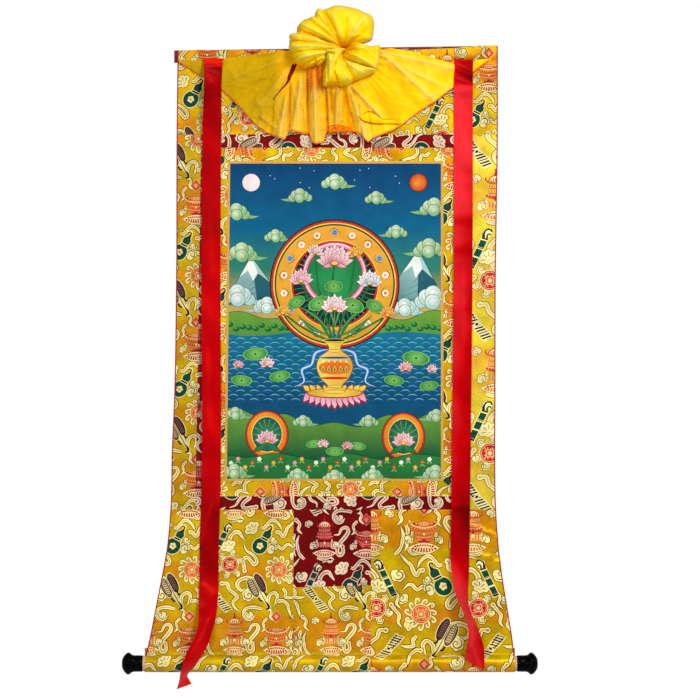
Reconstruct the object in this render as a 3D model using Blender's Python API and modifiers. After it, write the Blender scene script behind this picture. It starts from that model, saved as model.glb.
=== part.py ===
"""A thangka: a picture on cloth in a sewn brocade mount, with its veil gathered up.

The mount hangs from a slat in a sleeve at its head, and a round rod with two turned
knobs weighs down its foot. Every cloth is a separate piece, sewn edge to edge, so each
is an object of its own here, with a seam's gap to the next.

Metres. +Z is up and the front faces -Y. The origin is the middle of the heading's top
edge, where the hanging is held. Tables give x, z and sizes in metres.
"""

import math

import bmesh
import bpy
from mathutils import Vector
from mathutils.geometry import delaunay_2d_cdt

# Cloth
CLOTH_THICK = 0.0016
SEAM_GAP = 0.0003
RIBBON_THICK = 0.0010
SILK_THICK = 0.0012
BINDING_WIDTH = 0.0022
BINDING_TOP = -0.0060

# Heading: a slat in a sleeve, hanging a little lower on the left
SLAT = dict(length=0.608, thick=0.007, height=0.021, edge=0.0032)
SLEEVE_THICK = 0.0010
SLEEVE_LENGTH = 0.612
HEADING_X = -0.0033
HEADING_TILT = math.radians(0.826)
SLEEVE_HALF_THICK = SLAT["thick"] / 2 + SEAM_GAP + SLEEVE_THICK
SLEEVE_HALF_HEIGHT = SLAT["height"] / 2 + SEAM_GAP + SLEEVE_THICK
HEADING_Z = -SLEEVE_HALF_HEIGHT
# The line of stitches under the sleeve draws the cloth in
TUCK_DROP, TUCK_DEPTH, TUCK_HALF_WIDTH = 0.0014, 0.0011, 0.0020
# Rows of points in the head panel: below the tuck, and above and below the stitches
HEAD_ROWS = (-0.135, -0.105, -0.075, -0.050)
TUCK_ROWS = (0.007, 0.003, 0.0, -0.003, -0.006)

# The mount's cloth hangs in one plane, just in front of the sleeve
CLOTH_Y = -(SLEEVE_HALF_THICK + SEAM_GAP + CLOTH_THICK / 2)
CLOTH_FRONT = CLOTH_Y - CLOTH_THICK / 2

# Foot: the cloth goes round a rod and up its own back
ROD_RADIUS = 0.0143
HEM_RADIUS = 0.0156
HEM_BEND = 0.0030
HEM_LAP = 0.0120
HEM_LAP_GAP = 0.0004
ROLL_Z = -1.1637
ROLL_Y = CLOTH_Y - HEM_BEND
BEND_Z = ROLL_Z + HEM_RADIUS + HEM_BEND
ROLL_FRONT = ROLL_Y - HEM_RADIUS - CLOTH_THICK / 2
ROD_ENDS = (-0.3679, 0.3382)
TENON = dict(radius=0.008, length=0.015)
KNOB_LENGTH = 0.0395

# Height of each seam that runs across
FRAME_TOP, FRAME_FOOT = -0.1639, -0.8732
BORDER_TOP, BORDER_FOOT = -0.1892, -0.8479
FILLET_TOP, FILLET_FOOT = -0.2143, -0.8189
PICTURE_TOP, PICTURE_FOOT = -0.2191, -0.8150
DOOR_FOOT_LEFT, DOOR_FOOT_RIGHT = -1.0206, -1.0163

# Seams that run down, as x at FRAME_TOP and x at FRAME_FOOT
SEAMS = dict(
    frame_left=(-0.2581, -0.2692),
    border_left=(-0.2358, -0.2456),
    fillet_left=(-0.2070, -0.2148),
    picture_left=(-0.2025, -0.2103),
    picture_right=(0.1951, 0.1951),
    fillet_right=(0.1999, 0.1999),
    border_right=(0.2273, 0.2273),
    frame_right=(0.2477, 0.2477),
    foot_left=(-0.0804, -0.0834),
    foot_right=(0.0628, 0.0628),
)

# The mount's outer edges, which flare towards the rod
EDGES = [  # z, left x, right x
    (0.0050, -0.3027, 0.3027),
    (-0.1639, -0.3046, 0.3027),
    (-0.4392, -0.3057, 0.2987),
    (-0.6849, -0.3102, 0.2981),
    (-0.7605, -0.3136, 0.2978),
    (-0.8730, -0.3163, 0.2995),
    (-0.9476, -0.3233, 0.3048),
    (-1.0081, -0.3342, 0.3127),
    (-1.0667, -0.3457, 0.3221),
    (-1.1083, -0.3537, 0.3289),
    (-1.1470, -0.3622, 0.3338),
    (-1.1801, -0.3672, 0.3374),
]

# How far the brocade's uneven top edge stays below the top of the sleeve
HEADING_DROPS = [  # x, drop
    (-0.3027, 0.0006),
    (-0.2380, 0.0002),
    (-0.2300, 0.0020),
    (-0.2120, 0.0011),
    (0.0800, 0.0036),
    (0.1270, 0.0058),
    (0.2390, 0.0022),
    (0.2500, 0.0002),
    (0.3027, 0.0002),
]

# Soft waves all over the cloth, and larger ones in the lower mount
WAVES = dict(height=0.0008, across=27, down=7, start=0.5)
FOOT_WAVES = dict(height=0.0020, across=31, down=9)

# Creases that stand out of the lower mount's cloth
CREASES = [  # from x, z, to x, z, half width, height
    (0.245, -0.899, 0.304, -0.928, 0.009, 0.0036),
    (0.255, -0.953, 0.310, -0.975, 0.010, 0.0034),
    (-0.330, -1.010, -0.270, -1.060, 0.016, 0.0026),
    (0.100, -1.100, 0.190, -1.050, 0.020, 0.0020),
]

# The veil: its top edge, with the rosette's outline, and its hem
VEIL_OUTLINE = [  # x, top z, hem z
    (-0.3000, -0.0242, -0.0286),
    (-0.2793, -0.0240, -0.0414),
    (-0.2528, -0.0255, -0.0571),
    (-0.2169, -0.0255, -0.0816),
    (-0.2131, -0.0208, -0.0849),
    (-0.1677, -0.0149, -0.1331),
    (-0.1462, -0.0121, -0.1548),
    (-0.1250, -0.0095, -0.1671),
    (-0.0997, -0.0072, -0.1758),
    (-0.0921, -0.0057, -0.1591),
    (-0.0899, 0.0212, -0.1591),
    (-0.0763, 0.0285, -0.1610),
    (-0.0645, 0.0503, -0.1629),
    (-0.0477, 0.0550, -0.1809),
    (-0.0411, 0.0682, -0.1841),
    (-0.0339, 0.0728, -0.1826),
    (-0.0260, 0.0711, -0.1803),
    (-0.0222, 0.0730, -0.1633),
    (-0.0033, 0.0792, -0.1608),
    (0.0317, 0.0741, -0.1589),
    (0.0439, 0.0707, -0.1671),
    (0.0564, 0.0654, -0.1803),
    (0.0657, 0.0592, -0.1735),
    (0.0700, 0.0446, -0.1709),
    (0.0719, 0.0019, -0.1697),
    (0.1025, -0.0017, -0.1589),
    (0.1243, -0.0055, -0.1455),
    (0.1492, -0.0098, -0.1251),
    (0.1806, -0.0197, -0.1066),
    (0.2216, -0.0316, -0.0741),
    (0.2547, -0.0272, -0.0493),
    (0.2688, -0.0225, -0.0376),
    (0.2859, -0.0215, -0.0253),
]

# Folds of the veil, as ridges that stand out of it
VEIL_FOLDS = [  # from x, z, to x, z, half width, height
    (-0.088, -0.050, -0.102, -0.170, 0.011, 0.0110),
    (-0.066, -0.045, -0.073, -0.155, 0.011, 0.0120),
    (-0.040, -0.050, -0.040, -0.180, 0.012, 0.0150),
    (-0.012, -0.075, -0.008, -0.158, 0.011, 0.0110),
    (0.014, -0.075, 0.018, -0.156, 0.010, 0.0100),
    (0.040, -0.060, 0.054, -0.174, 0.013, 0.0140),
    (0.052, -0.050, 0.082, -0.160, 0.012, 0.0100),
    (0.065, -0.040, 0.128, -0.142, 0.014, 0.0100),
    (0.080, -0.020, 0.165, -0.108, 0.014, 0.0080),
    (0.085, -0.008, 0.205, -0.050, 0.011, 0.0060),
    (-0.100, -0.035, -0.160, -0.130, 0.014, 0.0070),
    (-0.098, -0.020, -0.190, -0.060, 0.014, 0.0060),
    (-0.098, -0.070, -0.125, -0.160, 0.010, 0.0070),
]
VEIL_STAND = 0.0032
VEIL_SEWN_STAND = 0.0015
VEIL_LIFT = dict(x=-0.010, z=-0.060, width=0.075, height=0.070, by=0.013)
# Size of the veil's triangles: finer in the rosette and the skirt, round their middle
VEIL_PITCHES = dict(fine=0.0078, coarse=0.0135)
VEIL_FINE = dict(x=-0.01, reach=0.105)
VEIL_GRID = dict(left=-0.33, foot=-0.20, width=0.66, height=0.30)

# The rosette's puffs of gathered silk, as half ellipsoids
PUFFS = [  # centre x, z, half width, half height, depth, turn in degrees
    (-0.0570, -0.0030, 0.036, 0.030, 0.040, 10),
    (-0.0400, 0.0360, 0.030, 0.026, 0.044, 35),
    (0.0100, 0.0360, 0.060, 0.043, 0.058, -8),
    (0.0480, -0.0190, 0.032, 0.026, 0.046, -25),
    (0.0080, -0.0430, 0.034, 0.033, 0.052, 0),
    (-0.0180, -0.0150, 0.030, 0.028, 0.050, 0),
]
# Where the tie pinches the rosette, and the pleats that run to it
PINCH = dict(x=0.0150, z=-0.0040, radius=0.014, depth=0.016)
PUFF_PLEATS = 15
PUFF_PLEAT_DEPTH = 0.0035
PUFF_RIM = 0.020  # pleats and pinch fade out where the silk stands less than this
ROSETTE_BACK = dict(x=-0.008, z=0.042, width=0.058, height=0.030, by=0.014)

# The two ribbons that hang down the front
RIBBON_WIDTH = 0.0360
RIBBON_CLEAR = 0.0012
LEFT_RIBBON = [  # z, middle x, turn about the vertical in degrees
    (-0.0204, -0.2345, 10),
    (-0.0575, -0.2352, 26),
    (-0.1633, -0.2376, 8),
    (-0.4581, -0.2396, 4),
    (-0.7227, -0.2382, 8),
    (-0.8361, -0.2395, 0),
    (-0.9306, -0.2425, 0),
    (-1.0420, -0.2447, 12),
    (-1.0760, -0.2480, 34),
    (-1.1000, -0.2550, 55),
    (-1.1290, -0.2664, 52),
    (-1.1480, -0.2749, 44),
    (-1.1650, -0.2802, 52),
    (-1.1810, -0.2883, 76),
    (-1.1940, -0.2884, 118),
    (-1.2075, -0.2874, 140),
]
RIGHT_RIBBON = [  # z, middle x, turn about the vertical in degrees
    (-0.0215, 0.2382, -12),
    (-0.0400, 0.2376, -20),
    (-0.0710, 0.2371, -6),
    (-0.1633, 0.2372, 0),
    (-0.4770, 0.2362, 4),
    (-0.7133, 0.2337, 4),
    (-0.8929, 0.2316, 6),
    (-0.9685, 0.2305, 12),
    (-0.9990, 0.2316, 30),
    (-1.0270, 0.2356, 50),
    (-1.0520, 0.2400, 66),
    (-1.0780, 0.2496, 80),
    (-1.1030, 0.2580, 108),
    (-1.1250, 0.2590, 150),
    (-1.1450, 0.2570, 168),
    (-1.1640, 0.2555, 160),
]
RIBBON_SLANTS = dict(left=0.0075, right=-0.0090)
RIBBON_CUT = 0.030  # the slanted end fades out over this length
RIBBON_SEWN = 0.004  # and the ribbon lifts off its seam within this one
# Rows of points: close together near the head and in the turned tail
RIBBON_HEAD, RIBBON_TAIL = -0.08, -1.0
RIBBON_STEP, RIBBON_FINE_STEP = 0.024, 0.006

# The tie that shows in the slit between the left wing and the skirt
TIE = [  # z, middle x, width
    (-0.0322, -0.0812, 0.0085),
    (-0.0440, -0.0855, 0.0082),
    (-0.0560, -0.0905, 0.0066),
    (-0.0640, -0.0930, 0.0045),
    (-0.0820, -0.1080, 0.0024),
    (-0.0990, -0.1215, 0.0016),
]
TIE_THICK = 0.0010
TIE_CLEAR = 0.0022

KNOB_OUTLINE = [  # distance from the outer end, radius
    (0.0000, 0.0000),
    (0.0006, 0.0068),
    (0.0030, 0.0128),
    (0.0068, 0.0176),
    (0.0102, 0.0202),
    (0.0128, 0.0206),
    (0.0150, 0.0202),
    (0.0172, 0.0180),
    (0.0205, 0.0159),
    (0.0240, 0.0155),
    (0.0380, 0.0153),
    (KNOB_LENGTH, 0.0144),
]
TURNED_STEPS = 24

WHITE_WOOD = (0.50, 0.33, 0.17, 1.0)
BLACK_LACQUER = (0.006, 0.006, 0.007, 1.0)
PICTURE_BLUE = (0.04, 0.24, 0.34, 1.0)
FILLET_TAN = (0.70, 0.36, 0.08, 1.0)
GOLD_BROCADE = (0.68, 0.43, 0.02, 1.0)
MAROON_BROCADE = (0.17, 0.006, 0.012, 1.0)
BINDING_RED = (0.36, 0.008, 0.02, 1.0)
RED_SATIN = (0.58, 0.0, 0.012, 1.0)
YELLOW_SILK = (0.95, 0.58, 0.0, 1.0)


def clear_scene():
    for obj in list(bpy.data.objects):
        bpy.data.objects.remove(obj, do_unlink=True)


def collection(name):
    made = bpy.data.collections.new(name)
    bpy.context.scene.collection.children.link(made)
    return made


def paint(obj, colour, roughness, metallic=0.0):
    """Gives the object a material of its own."""
    made = bpy.data.materials.new(obj.name)
    made.use_nodes = True
    shader = made.node_tree.nodes["Principled BSDF"]
    shader.inputs["Base Color"].default_value = colour
    shader.inputs["Roughness"].default_value = roughness
    shader.inputs["Metallic"].default_value = metallic
    made.diffuse_color = colour
    obj.data.materials.clear()
    obj.data.materials.append(made)


def adopt(name, mesh, home):
    obj = bpy.data.objects.new(name, mesh)
    home.objects.link(obj)
    return obj


def lerp(a, b, t):
    return a + (b - a) * t


def fade(start, end, value):
    """0 at start and 1 at end, eased at both."""
    t = min(max((value - start) / (end - start), 0.0), 1.0)
    return t * t * (3 - 2 * t)


def rows_at(rows, key):
    """The table's other columns at this value of its first one, on straight lines."""
    ordered = sorted(rows)
    if key <= ordered[0][0]:
        return ordered[0][1:]
    for low, high in zip(ordered, ordered[1:]):
        if key <= high[0]:
            t = (key - low[0]) / (high[0] - low[0])
            return tuple(lerp(a, b, t) for a, b in zip(low[1:], high[1:]))
    return ordered[-1][1:]


def curve_at(rows, key):
    """As rows_at, on one smooth curve through the rows."""
    ordered = sorted(rows)
    last = len(ordered) - 1
    key = min(max(key, ordered[0][0]), ordered[last][0])
    at = next(i for i in range(last) if key <= ordered[i + 1][0])
    low, high = ordered[at], ordered[at + 1]
    before, after = ordered[max(at - 1, 0)], ordered[min(at + 2, last)]
    span = high[0] - low[0]
    t = (key - low[0]) / span
    found = []
    for column in range(1, len(low)):
        leave = span * (high[column] - before[column]) / (high[0] - before[0])
        arrive = span * (after[column] - low[column]) / (after[0] - low[0])
        found.append(
            (2 * t**3 - 3 * t**2 + 1) * low[column]
            + (t**3 - 2 * t**2 + t) * leave
            + (3 * t**2 - 2 * t**3) * high[column]
            + (t**3 - t**2) * arrive
        )
    return tuple(found)


def ridge(fold, x, z):
    """Height of a soft ridge at this place: full along its line, fading at its ends."""
    x0, z0, x1, z1, half_width, height = fold
    along_x, along_z = x1 - x0, z1 - z0
    length = math.hypot(along_x, along_z)
    t = ((x - x0) * along_x + (z - z0) * along_z) / length**2
    away = abs((x - x0) * along_z - (z - z0) * along_x) / length
    ends = fade(-0.15, 0.15, t) * fade(1.25, 0.95, t)
    return height * ends * math.exp(-((away / half_width) ** 2))


def hill(spot, x, z):
    """A soft round rise, from 1 at its middle to 0."""
    reach = ((x - spot["x"]) / spot["width"]) ** 2 + ((z - spot["z"]) / spot["height"]) ** 2
    return math.exp(-reach)


# --- the mount's cloth ---------------------------------------------------------------


def seam(name):
    """The x of this seam as a function of z."""
    top, foot = SEAMS[name]
    return lambda z: lerp(top, foot, (FRAME_TOP - z) / (FRAME_TOP - FRAME_FOOT))


def left_edge(z):
    return curve_at(EDGES, z)[0]


def right_edge(z):
    return curve_at(EDGES, z)[1]


def heading_top(x):
    """Top of the sleeve, which hangs a little lower on the left."""
    return (x - HEADING_X) * math.tan(HEADING_TILT)


def stitches_at(x):
    """Height of the line of stitches under the sleeve."""
    return heading_top(x) - 2 * SLEEVE_HALF_HEIGHT - TUCK_DROP


def cloth_y(x, z):
    """Middle of the cloth: a plane with soft waves, which grow towards the foot."""
    at_foot = fade(-0.80, -1.05, z)
    hanging = fade(-0.02, -0.10, z) * fade(BEND_Z + 0.002, BEND_Z + 0.045, z)
    across, down = WAVES["across"] * x + WAVES["start"], WAVES["down"] * z
    wave = WAVES["height"] * math.sin(across) * math.cos(down)
    slant = FOOT_WAVES["across"] * x + FOOT_WAVES["down"] * z
    wave += FOOT_WAVES["height"] * at_foot * math.sin(slant)
    folds = sum(ridge(crease, x, z) for crease in CREASES)
    tuck = TUCK_DEPTH * math.exp(-(((z - stitches_at(x)) / TUCK_HALF_WIDTH) ** 2))
    return CLOTH_Y + hanging * (wave - folds) + tuck


def grid_mesh(name, across, down, place):
    """A grid of quads whose points place(u, v) sets, with u and v from the two lists."""
    bm = bmesh.new()
    bmesh.ops.create_grid(bm, x_segments=len(across) - 1, y_segments=len(down) - 1, size=0.5)
    for vert in bm.verts:
        column = round((vert.co.x + 0.5) * (len(across) - 1))
        row = round((vert.co.y + 0.5) * (len(down) - 1))
        vert.co = place(across[column], down[row])
    mesh = bpy.data.meshes.new(name)
    bm.to_mesh(mesh)
    bm.free()
    return mesh


def spaced(start, end, count):
    return [lerp(start, end, i / count) for i in range(count + 1)]


def even(count):
    return spaced(0, 1, count)


def as_cloth(obj, thick):
    """Gives an open surface its thickness, half on each side."""
    shell = obj.modifiers.new("Thickness", "SOLIDIFY")
    shell.thickness = thick
    shell.offset = 0
    shell.use_even_offset = True
    return obj


def parted(corners):
    """Corners of a cut piece, in order round it, moved in by half a seam's gap."""
    moved = []
    for i, corner in enumerate(corners):
        before = (corner - corners[i - 1]).normalized()
        after = (corners[(i + 1) % len(corners)] - corner).normalized()
        inward = Vector((-before.y - after.y, before.x + after.x))
        moved.append(corner + inward * (SEAM_GAP / 2) / (1 + before.dot(after)))
    return moved


def straight_piece(home, name, corners, across, down):
    """A piece with four straight edges. Its corners run from the lower left, anticlockwise."""
    low_left, low_right, top_right, top_left = parted([Vector(c) for c in corners])

    def place(u, v):
        x, z = low_left.lerp(low_right, u).lerp(top_left.lerp(top_right, u), v)
        return x, cloth_y(x, z), z

    mesh = grid_mesh(name, even(across), even(down), place)
    return as_cloth(adopt(name, mesh, home), CLOTH_THICK)


def hanging_piece(home, name, left, right, rows, across):
    """A piece between two edges that are functions of z.

    rows are functions of x that give the height of each row of points, from the lowest.
    """
    half = SEAM_GAP / 2

    def place(u, row):
        z = row(lerp(left(row(0)), right(row(0)), u))
        x = lerp(left(z) + half, right(z) - half, u)
        return x, cloth_y(x, z), z

    mesh = grid_mesh(name, even(across), rows, place)
    return as_cloth(adopt(name, mesh, home), CLOTH_THICK)


def level(z):
    return lambda x: z


def inside_left(z):
    return left_edge(z) + BINDING_WIDTH


def inside_right(z):
    return right_edge(z) - BINDING_WIDTH


def ring(home, names, outer, inner, outer_z, inner_z, mitred):
    """Four strips round an opening. outer and inner name the seams at their two sides."""
    out_left, out_right = seam(outer[0]), seam(outer[1])
    in_left, in_right = seam(inner[0]), seam(inner[1])
    (out_top, out_foot), (in_top, in_foot) = outer_z, inner_z
    inner_corner = dict(
        low_left=(in_left(in_foot), in_foot),
        low_right=(in_right(in_foot), in_foot),
        top_right=(in_right(in_top), in_top),
        top_left=(in_left(in_top), in_top),
    )
    outer_corner = dict(
        low_left=(out_left(out_foot), out_foot),
        low_right=(out_right(out_foot), out_foot),
        top_right=(out_right(out_top), out_top),
        top_left=(out_left(out_top), out_top),
    )
    # Where a side strip ends on the outer seam, and a level strip on the inner one
    if mitred:
        side, flat = outer_corner, inner_corner
    else:
        side = dict(
            low_left=(out_left(in_foot), in_foot),
            low_right=(out_right(in_foot), in_foot),
            top_right=(out_right(in_top), in_top),
            top_left=(out_left(in_top), in_top),
        )
        flat = side
    o, i = outer_corner, inner_corner
    strips = dict(
        top=((flat["top_left"], flat["top_right"], o["top_right"], o["top_left"]), 18, 1),
        foot=((o["low_left"], o["low_right"], flat["low_right"], flat["low_left"]), 18, 1),
        left=((side["low_left"], i["low_left"], i["top_left"], side["top_left"]), 1, 20),
        right=((i["low_right"], side["low_right"], side["top_right"], i["top_right"]), 1, 20),
    )
    return [
        straight_piece(home, f"{names}_{where}", *strip) for where, strip in strips.items()
    ]


def make_picture(home):
    left, right = seam("picture_left"), seam("picture_right")
    corners = [
        (left(PICTURE_FOOT), PICTURE_FOOT),
        (right(PICTURE_FOOT), PICTURE_FOOT),
        (right(PICTURE_TOP), PICTURE_TOP),
        (left(PICTURE_TOP), PICTURE_TOP),
    ]
    paint(straight_piece(home, "picture", corners, 10, 14), PICTURE_BLUE, 0.6)


def make_borders(home):
    fillet = ring(
        home,
        "fillet",
        ("fillet_left", "fillet_right"),
        ("picture_left", "picture_right"),
        (FILLET_TOP, FILLET_FOOT),
        (PICTURE_TOP, PICTURE_FOOT),
        mitred=True,
    )
    border = ring(
        home,
        "inner_border",
        ("border_left", "border_right"),
        ("fillet_left", "fillet_right"),
        (BORDER_TOP, BORDER_FOOT),
        (FILLET_TOP, FILLET_FOOT),
        mitred=True,
    )
    frame = ring(
        home,
        "maroon_frame",
        ("frame_left", "frame_right"),
        ("border_left", "border_right"),
        (FRAME_TOP, FRAME_FOOT),
        (BORDER_TOP, BORDER_FOOT),
        mitred=False,
    )
    for strip in fillet:
        paint(strip, FILLET_TAN, 0.5)
    for strip in border:
        paint(strip, GOLD_BROCADE, 0.45)
    for strip in frame:
        paint(strip, MAROON_BROCADE, 0.5)


def make_upper_mount(home):
    """The head panel, which covers the sleeve's front, and the two side panels."""

    def head_edge(x):
        return heading_top(x) - rows_at(HEADING_DROPS, x)[0]

    half = SEAM_GAP / 2
    rows = [level(z) for z in (FRAME_TOP + half, *HEAD_ROWS)]
    for below in TUCK_ROWS:
        rows.append(lambda x, below=below: stitches_at(x) - below)
    rows.append(head_edge)
    head = hanging_piece(home, "panel_head", inside_left, inside_right, rows, 22)
    side_rows = [level(z) for z in spaced(FRAME_FOOT + half, FRAME_TOP - half, 24)]
    sides = [
        hanging_piece(home, f"panel_{side}", left, right, side_rows, 2)
        for side, left, right in (
            ("left", inside_left, seam("frame_left")),
            ("right", seam("frame_right"), inside_right),
        )
    ]
    for panel in [head, *sides]:
        paint(panel, GOLD_BROCADE, 0.45)


def make_door(home):
    """The maroon square sewn in below the frame, as wide as the middle width of cloth."""
    left, right = seam("foot_left"), seam("foot_right")
    corners = [
        (left(DOOR_FOOT_LEFT), DOOR_FOOT_LEFT),
        (right(DOOR_FOOT_RIGHT), DOOR_FOOT_RIGHT),
        (right(FRAME_FOOT), FRAME_FOOT),
        (left(FRAME_FOOT), FRAME_FOOT),
    ]
    paint(straight_piece(home, "door_panel", corners, 6, 6), MAROON_BROCADE, 0.5)


def arc(centre, radius, start, end, steps):
    """Points along an arc in the y, z plane, without its first. Angles in degrees from +Y."""
    turns = [math.radians(lerp(start, end, i / steps)) for i in range(1, steps + 1)]
    return [(centre[0] + radius * math.cos(a), centre[1] + radius * math.sin(a)) for a in turns]


def hem_path():
    """The cloth's middle from the bend above the roll, round it, and up behind itself."""
    lap_y = CLOTH_Y + CLOTH_THICK + HEM_LAP_GAP
    reach = HEM_RADIUS + HEM_BEND
    out = lap_y + HEM_BEND - ROLL_Y
    lap_z = ROLL_Z + math.sqrt(reach**2 - out**2)
    leave = math.degrees(math.acos(out / reach))
    path = [(CLOTH_Y, BEND_Z)]
    path += arc((ROLL_Y, BEND_Z), HEM_BEND, 0, -90, 3)
    path += arc((ROLL_Y, ROLL_Z), HEM_RADIUS, 90, 360 + leave, 20)
    path += arc((lap_y + HEM_BEND, lap_z), HEM_BEND, 180 + leave, 180, 3)
    return path + [(lap_y, lap_z + HEM_LAP)]


def foot_piece(home, name, left, right, high, across, down):
    """A width of the lower mount, with the hem that holds the rod."""
    half = SEAM_GAP / 2
    path = hem_path()
    front_rows = len(path) // 2

    def on_hem(u, i):
        y, z = path[i]
        edge_z = z if i < front_rows else ROLL_Z - HEM_RADIUS
        return lerp(left(edge_z) + half, right(edge_z) - half, u), y, z

    def on_panel(u, v):
        rough_x = lerp(left(BEND_Z), right(BEND_Z), u)
        z = lerp(BEND_Z, high(rough_x) - half, v)
        x = lerp(left(z) + half, right(z) - half, u)
        return x, cloth_y(x, z), z

    rows = [(on_hem, i) for i in reversed(range(len(path)))]
    rows += [(on_panel, v) for v in even(down)[1:]]
    mesh = grid_mesh(name, even(across), rows, lambda u, row: row[0](u, row[1]))
    return as_cloth(adopt(name, mesh, home), CLOTH_THICK)


def make_lower_mount(home):
    def door_foot(x):
        left, right = seam("foot_left")(DOOR_FOOT_LEFT), seam("foot_right")(DOOR_FOOT_RIGHT)
        return lerp(DOOR_FOOT_LEFT, DOOR_FOOT_RIGHT, (x - left) / (right - left))

    widths = [
        ("panel_foot_left", inside_left, seam("foot_left"), level(FRAME_FOOT), 9, 11),
        ("panel_foot_middle", seam("foot_left"), seam("foot_right"), door_foot, 5, 5),
        ("panel_foot_right", seam("foot_right"), inside_right, level(FRAME_FOOT), 9, 11),
    ]
    for name, *cut in widths:
        paint(foot_piece(home, name, *cut), GOLD_BROCADE, 0.45)


def make_bindings(home):
    """The narrow red edging sewn along both sides of the mount."""
    half = SEAM_GAP / 2
    foot = BEND_Z + SEAM_GAP
    sides = [
        ("binding_left", left_edge, lambda z: left_edge(z) + BINDING_WIDTH - half),
        ("binding_right", lambda z: right_edge(z) - BINDING_WIDTH + half, right_edge),
    ]
    for name, left, right in sides:

        def place(u, v, left=left, right=right):
            z = lerp(foot, BINDING_TOP, v)
            x = lerp(left(z), right(z), u)
            return x, cloth_y(x, z), z

        mesh = grid_mesh(name, [0, 1], even(36), place)
        obj = as_cloth(adopt(name, mesh, home), CLOTH_THICK)
        paint(obj, BINDING_RED, 0.5)


# --- what carries the cloth ----------------------------------------------------------


def rounded_bar(home, name, size, edge):
    """A bar along X with round long edges, tilted as the heading hangs."""
    bm = bmesh.new()
    bmesh.ops.create_cube(bm, size=1)
    bmesh.ops.scale(bm, vec=size, verts=bm.verts)
    mesh = bpy.data.meshes.new(name)
    bm.to_mesh(mesh)
    bm.free()
    obj = adopt(name, mesh, home)
    obj.location = (HEADING_X, 0, HEADING_Z)
    obj.rotation_euler = (0, -HEADING_TILT, 0)
    bevel = obj.modifiers.new("Round edges", "BEVEL")
    bevel.width = edge
    bevel.segments = 4
    bevel.limit_method = "WEIGHT"
    weights = mesh.attributes.new("bevel_weight_edge", "FLOAT", "EDGE")
    for i, line in enumerate(mesh.edges):
        a, b = (mesh.vertices[v].co for v in line.vertices)
        weights.data[i].value = 1.0 if abs(a.x - b.x) > size[0] / 2 else 0.0
    return obj


def make_heading(home):
    slat = rounded_bar(
        home, "head_slat", (SLAT["length"], SLAT["thick"], SLAT["height"]), SLAT["edge"]
    )
    paint(slat, WHITE_WOOD, 0.7)
    size = (SLEEVE_LENGTH, 2 * SLEEVE_HALF_THICK, 2 * SLEEVE_HALF_HEIGHT)
    sleeve = rounded_bar(home, "head_sleeve", size, SLAT["edge"] + SEAM_GAP + SLEEVE_THICK)
    bm = bmesh.new()
    bm.from_mesh(sleeve.data)
    ends = [face for face in bm.faces if abs(face.normal.x) > 0.5]
    bmesh.ops.delete(bm, geom=ends, context="FACES_ONLY")
    bm.to_mesh(sleeve.data)
    bm.free()
    wall = sleeve.modifiers.new("Thickness", "SOLIDIFY")
    wall.thickness = SLEEVE_THICK
    wall.offset = -1
    wall.use_even_offset = True
    paint(sleeve, MAROON_BROCADE, 0.5)


def turned(home, name, outline, x, outward):
    """A turned piece. Its outline runs from its outer end, as depth and radius."""
    mesh = bpy.data.meshes.new(name)
    points = [(radius, 0, -depth) for depth, radius in outline]
    mesh.from_pydata(points, [(i, i + 1) for i in range(len(points) - 1)], [])
    obj = adopt(name, mesh, home)
    obj.location = (x, ROLL_Y, ROLL_Z)
    obj.rotation_euler = (0, outward * math.pi / 2, 0)
    screw = obj.modifiers.new("Turned", "SCREW")
    screw.steps = screw.render_steps = TURNED_STEPS
    screw.use_merge_vertices = True
    screw.merge_threshold = 0.00001
    screw.use_smooth_shade = True
    return obj


def make_roller(home):
    length = ROD_ENDS[1] - ROD_ENDS[0]
    tenon, pin = TENON["length"], TENON["radius"]
    outline = [
        (0, 0),
        (0, pin),
        (tenon, pin),
        (tenon, ROD_RADIUS),
        (tenon + length, ROD_RADIUS),
        (tenon + length, pin),
        (2 * tenon + length, pin),
        (2 * tenon + length, 0),
    ]
    rod = turned(home, "foot_rod", outline, ROD_ENDS[1] + tenon, 1)
    paint(rod, WHITE_WOOD, 0.7)
    bore = [
        (KNOB_LENGTH, pin + SEAM_GAP),
        (KNOB_LENGTH - tenon - SEAM_GAP, pin + SEAM_GAP),
        (KNOB_LENGTH - tenon - SEAM_GAP, 0),
    ]
    for name, end, outward in (
        ("knob_left", ROD_ENDS[0] - SEAM_GAP, -1),
        ("knob_right", ROD_ENDS[1] + SEAM_GAP, 1),
    ):
        knob = turned(home, name, KNOB_OUTLINE + bore, end + outward * KNOB_LENGTH, outward)
        paint(knob, BLACK_LACQUER, 0.35)


# --- silk ----------------------------------------------------------------------------


def puffs_at(x, z):
    """How far the rosette's puffs stand out here, pleated towards where it is pinched."""
    stand = 0.0
    for at_x, at_z, half_width, half_height, depth, turn in PUFFS:
        c, s = math.cos(math.radians(turn)), math.sin(math.radians(turn))
        along = ((x - at_x) * c + (z - at_z) * s) / half_width
        across = ((z - at_z) * c - (x - at_x) * s) / half_height
        inside = 1 - along**2 - across**2
        if inside > 0:
            stand = max(stand, depth * math.sqrt(inside))
    from_pinch = math.hypot(x - PINCH["x"], z - PINCH["z"])
    angle = math.atan2(z - PINCH["z"], x - PINCH["x"])
    relief = PUFF_PLEAT_DEPTH * math.cos(PUFF_PLEATS * angle) * fade(0.01, 0.05, from_pinch)
    relief -= PINCH["depth"] * math.exp(-((from_pinch / PINCH["radius"]) ** 2))
    return stand + relief * min(stand / PUFF_RIM, 1.0)


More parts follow.
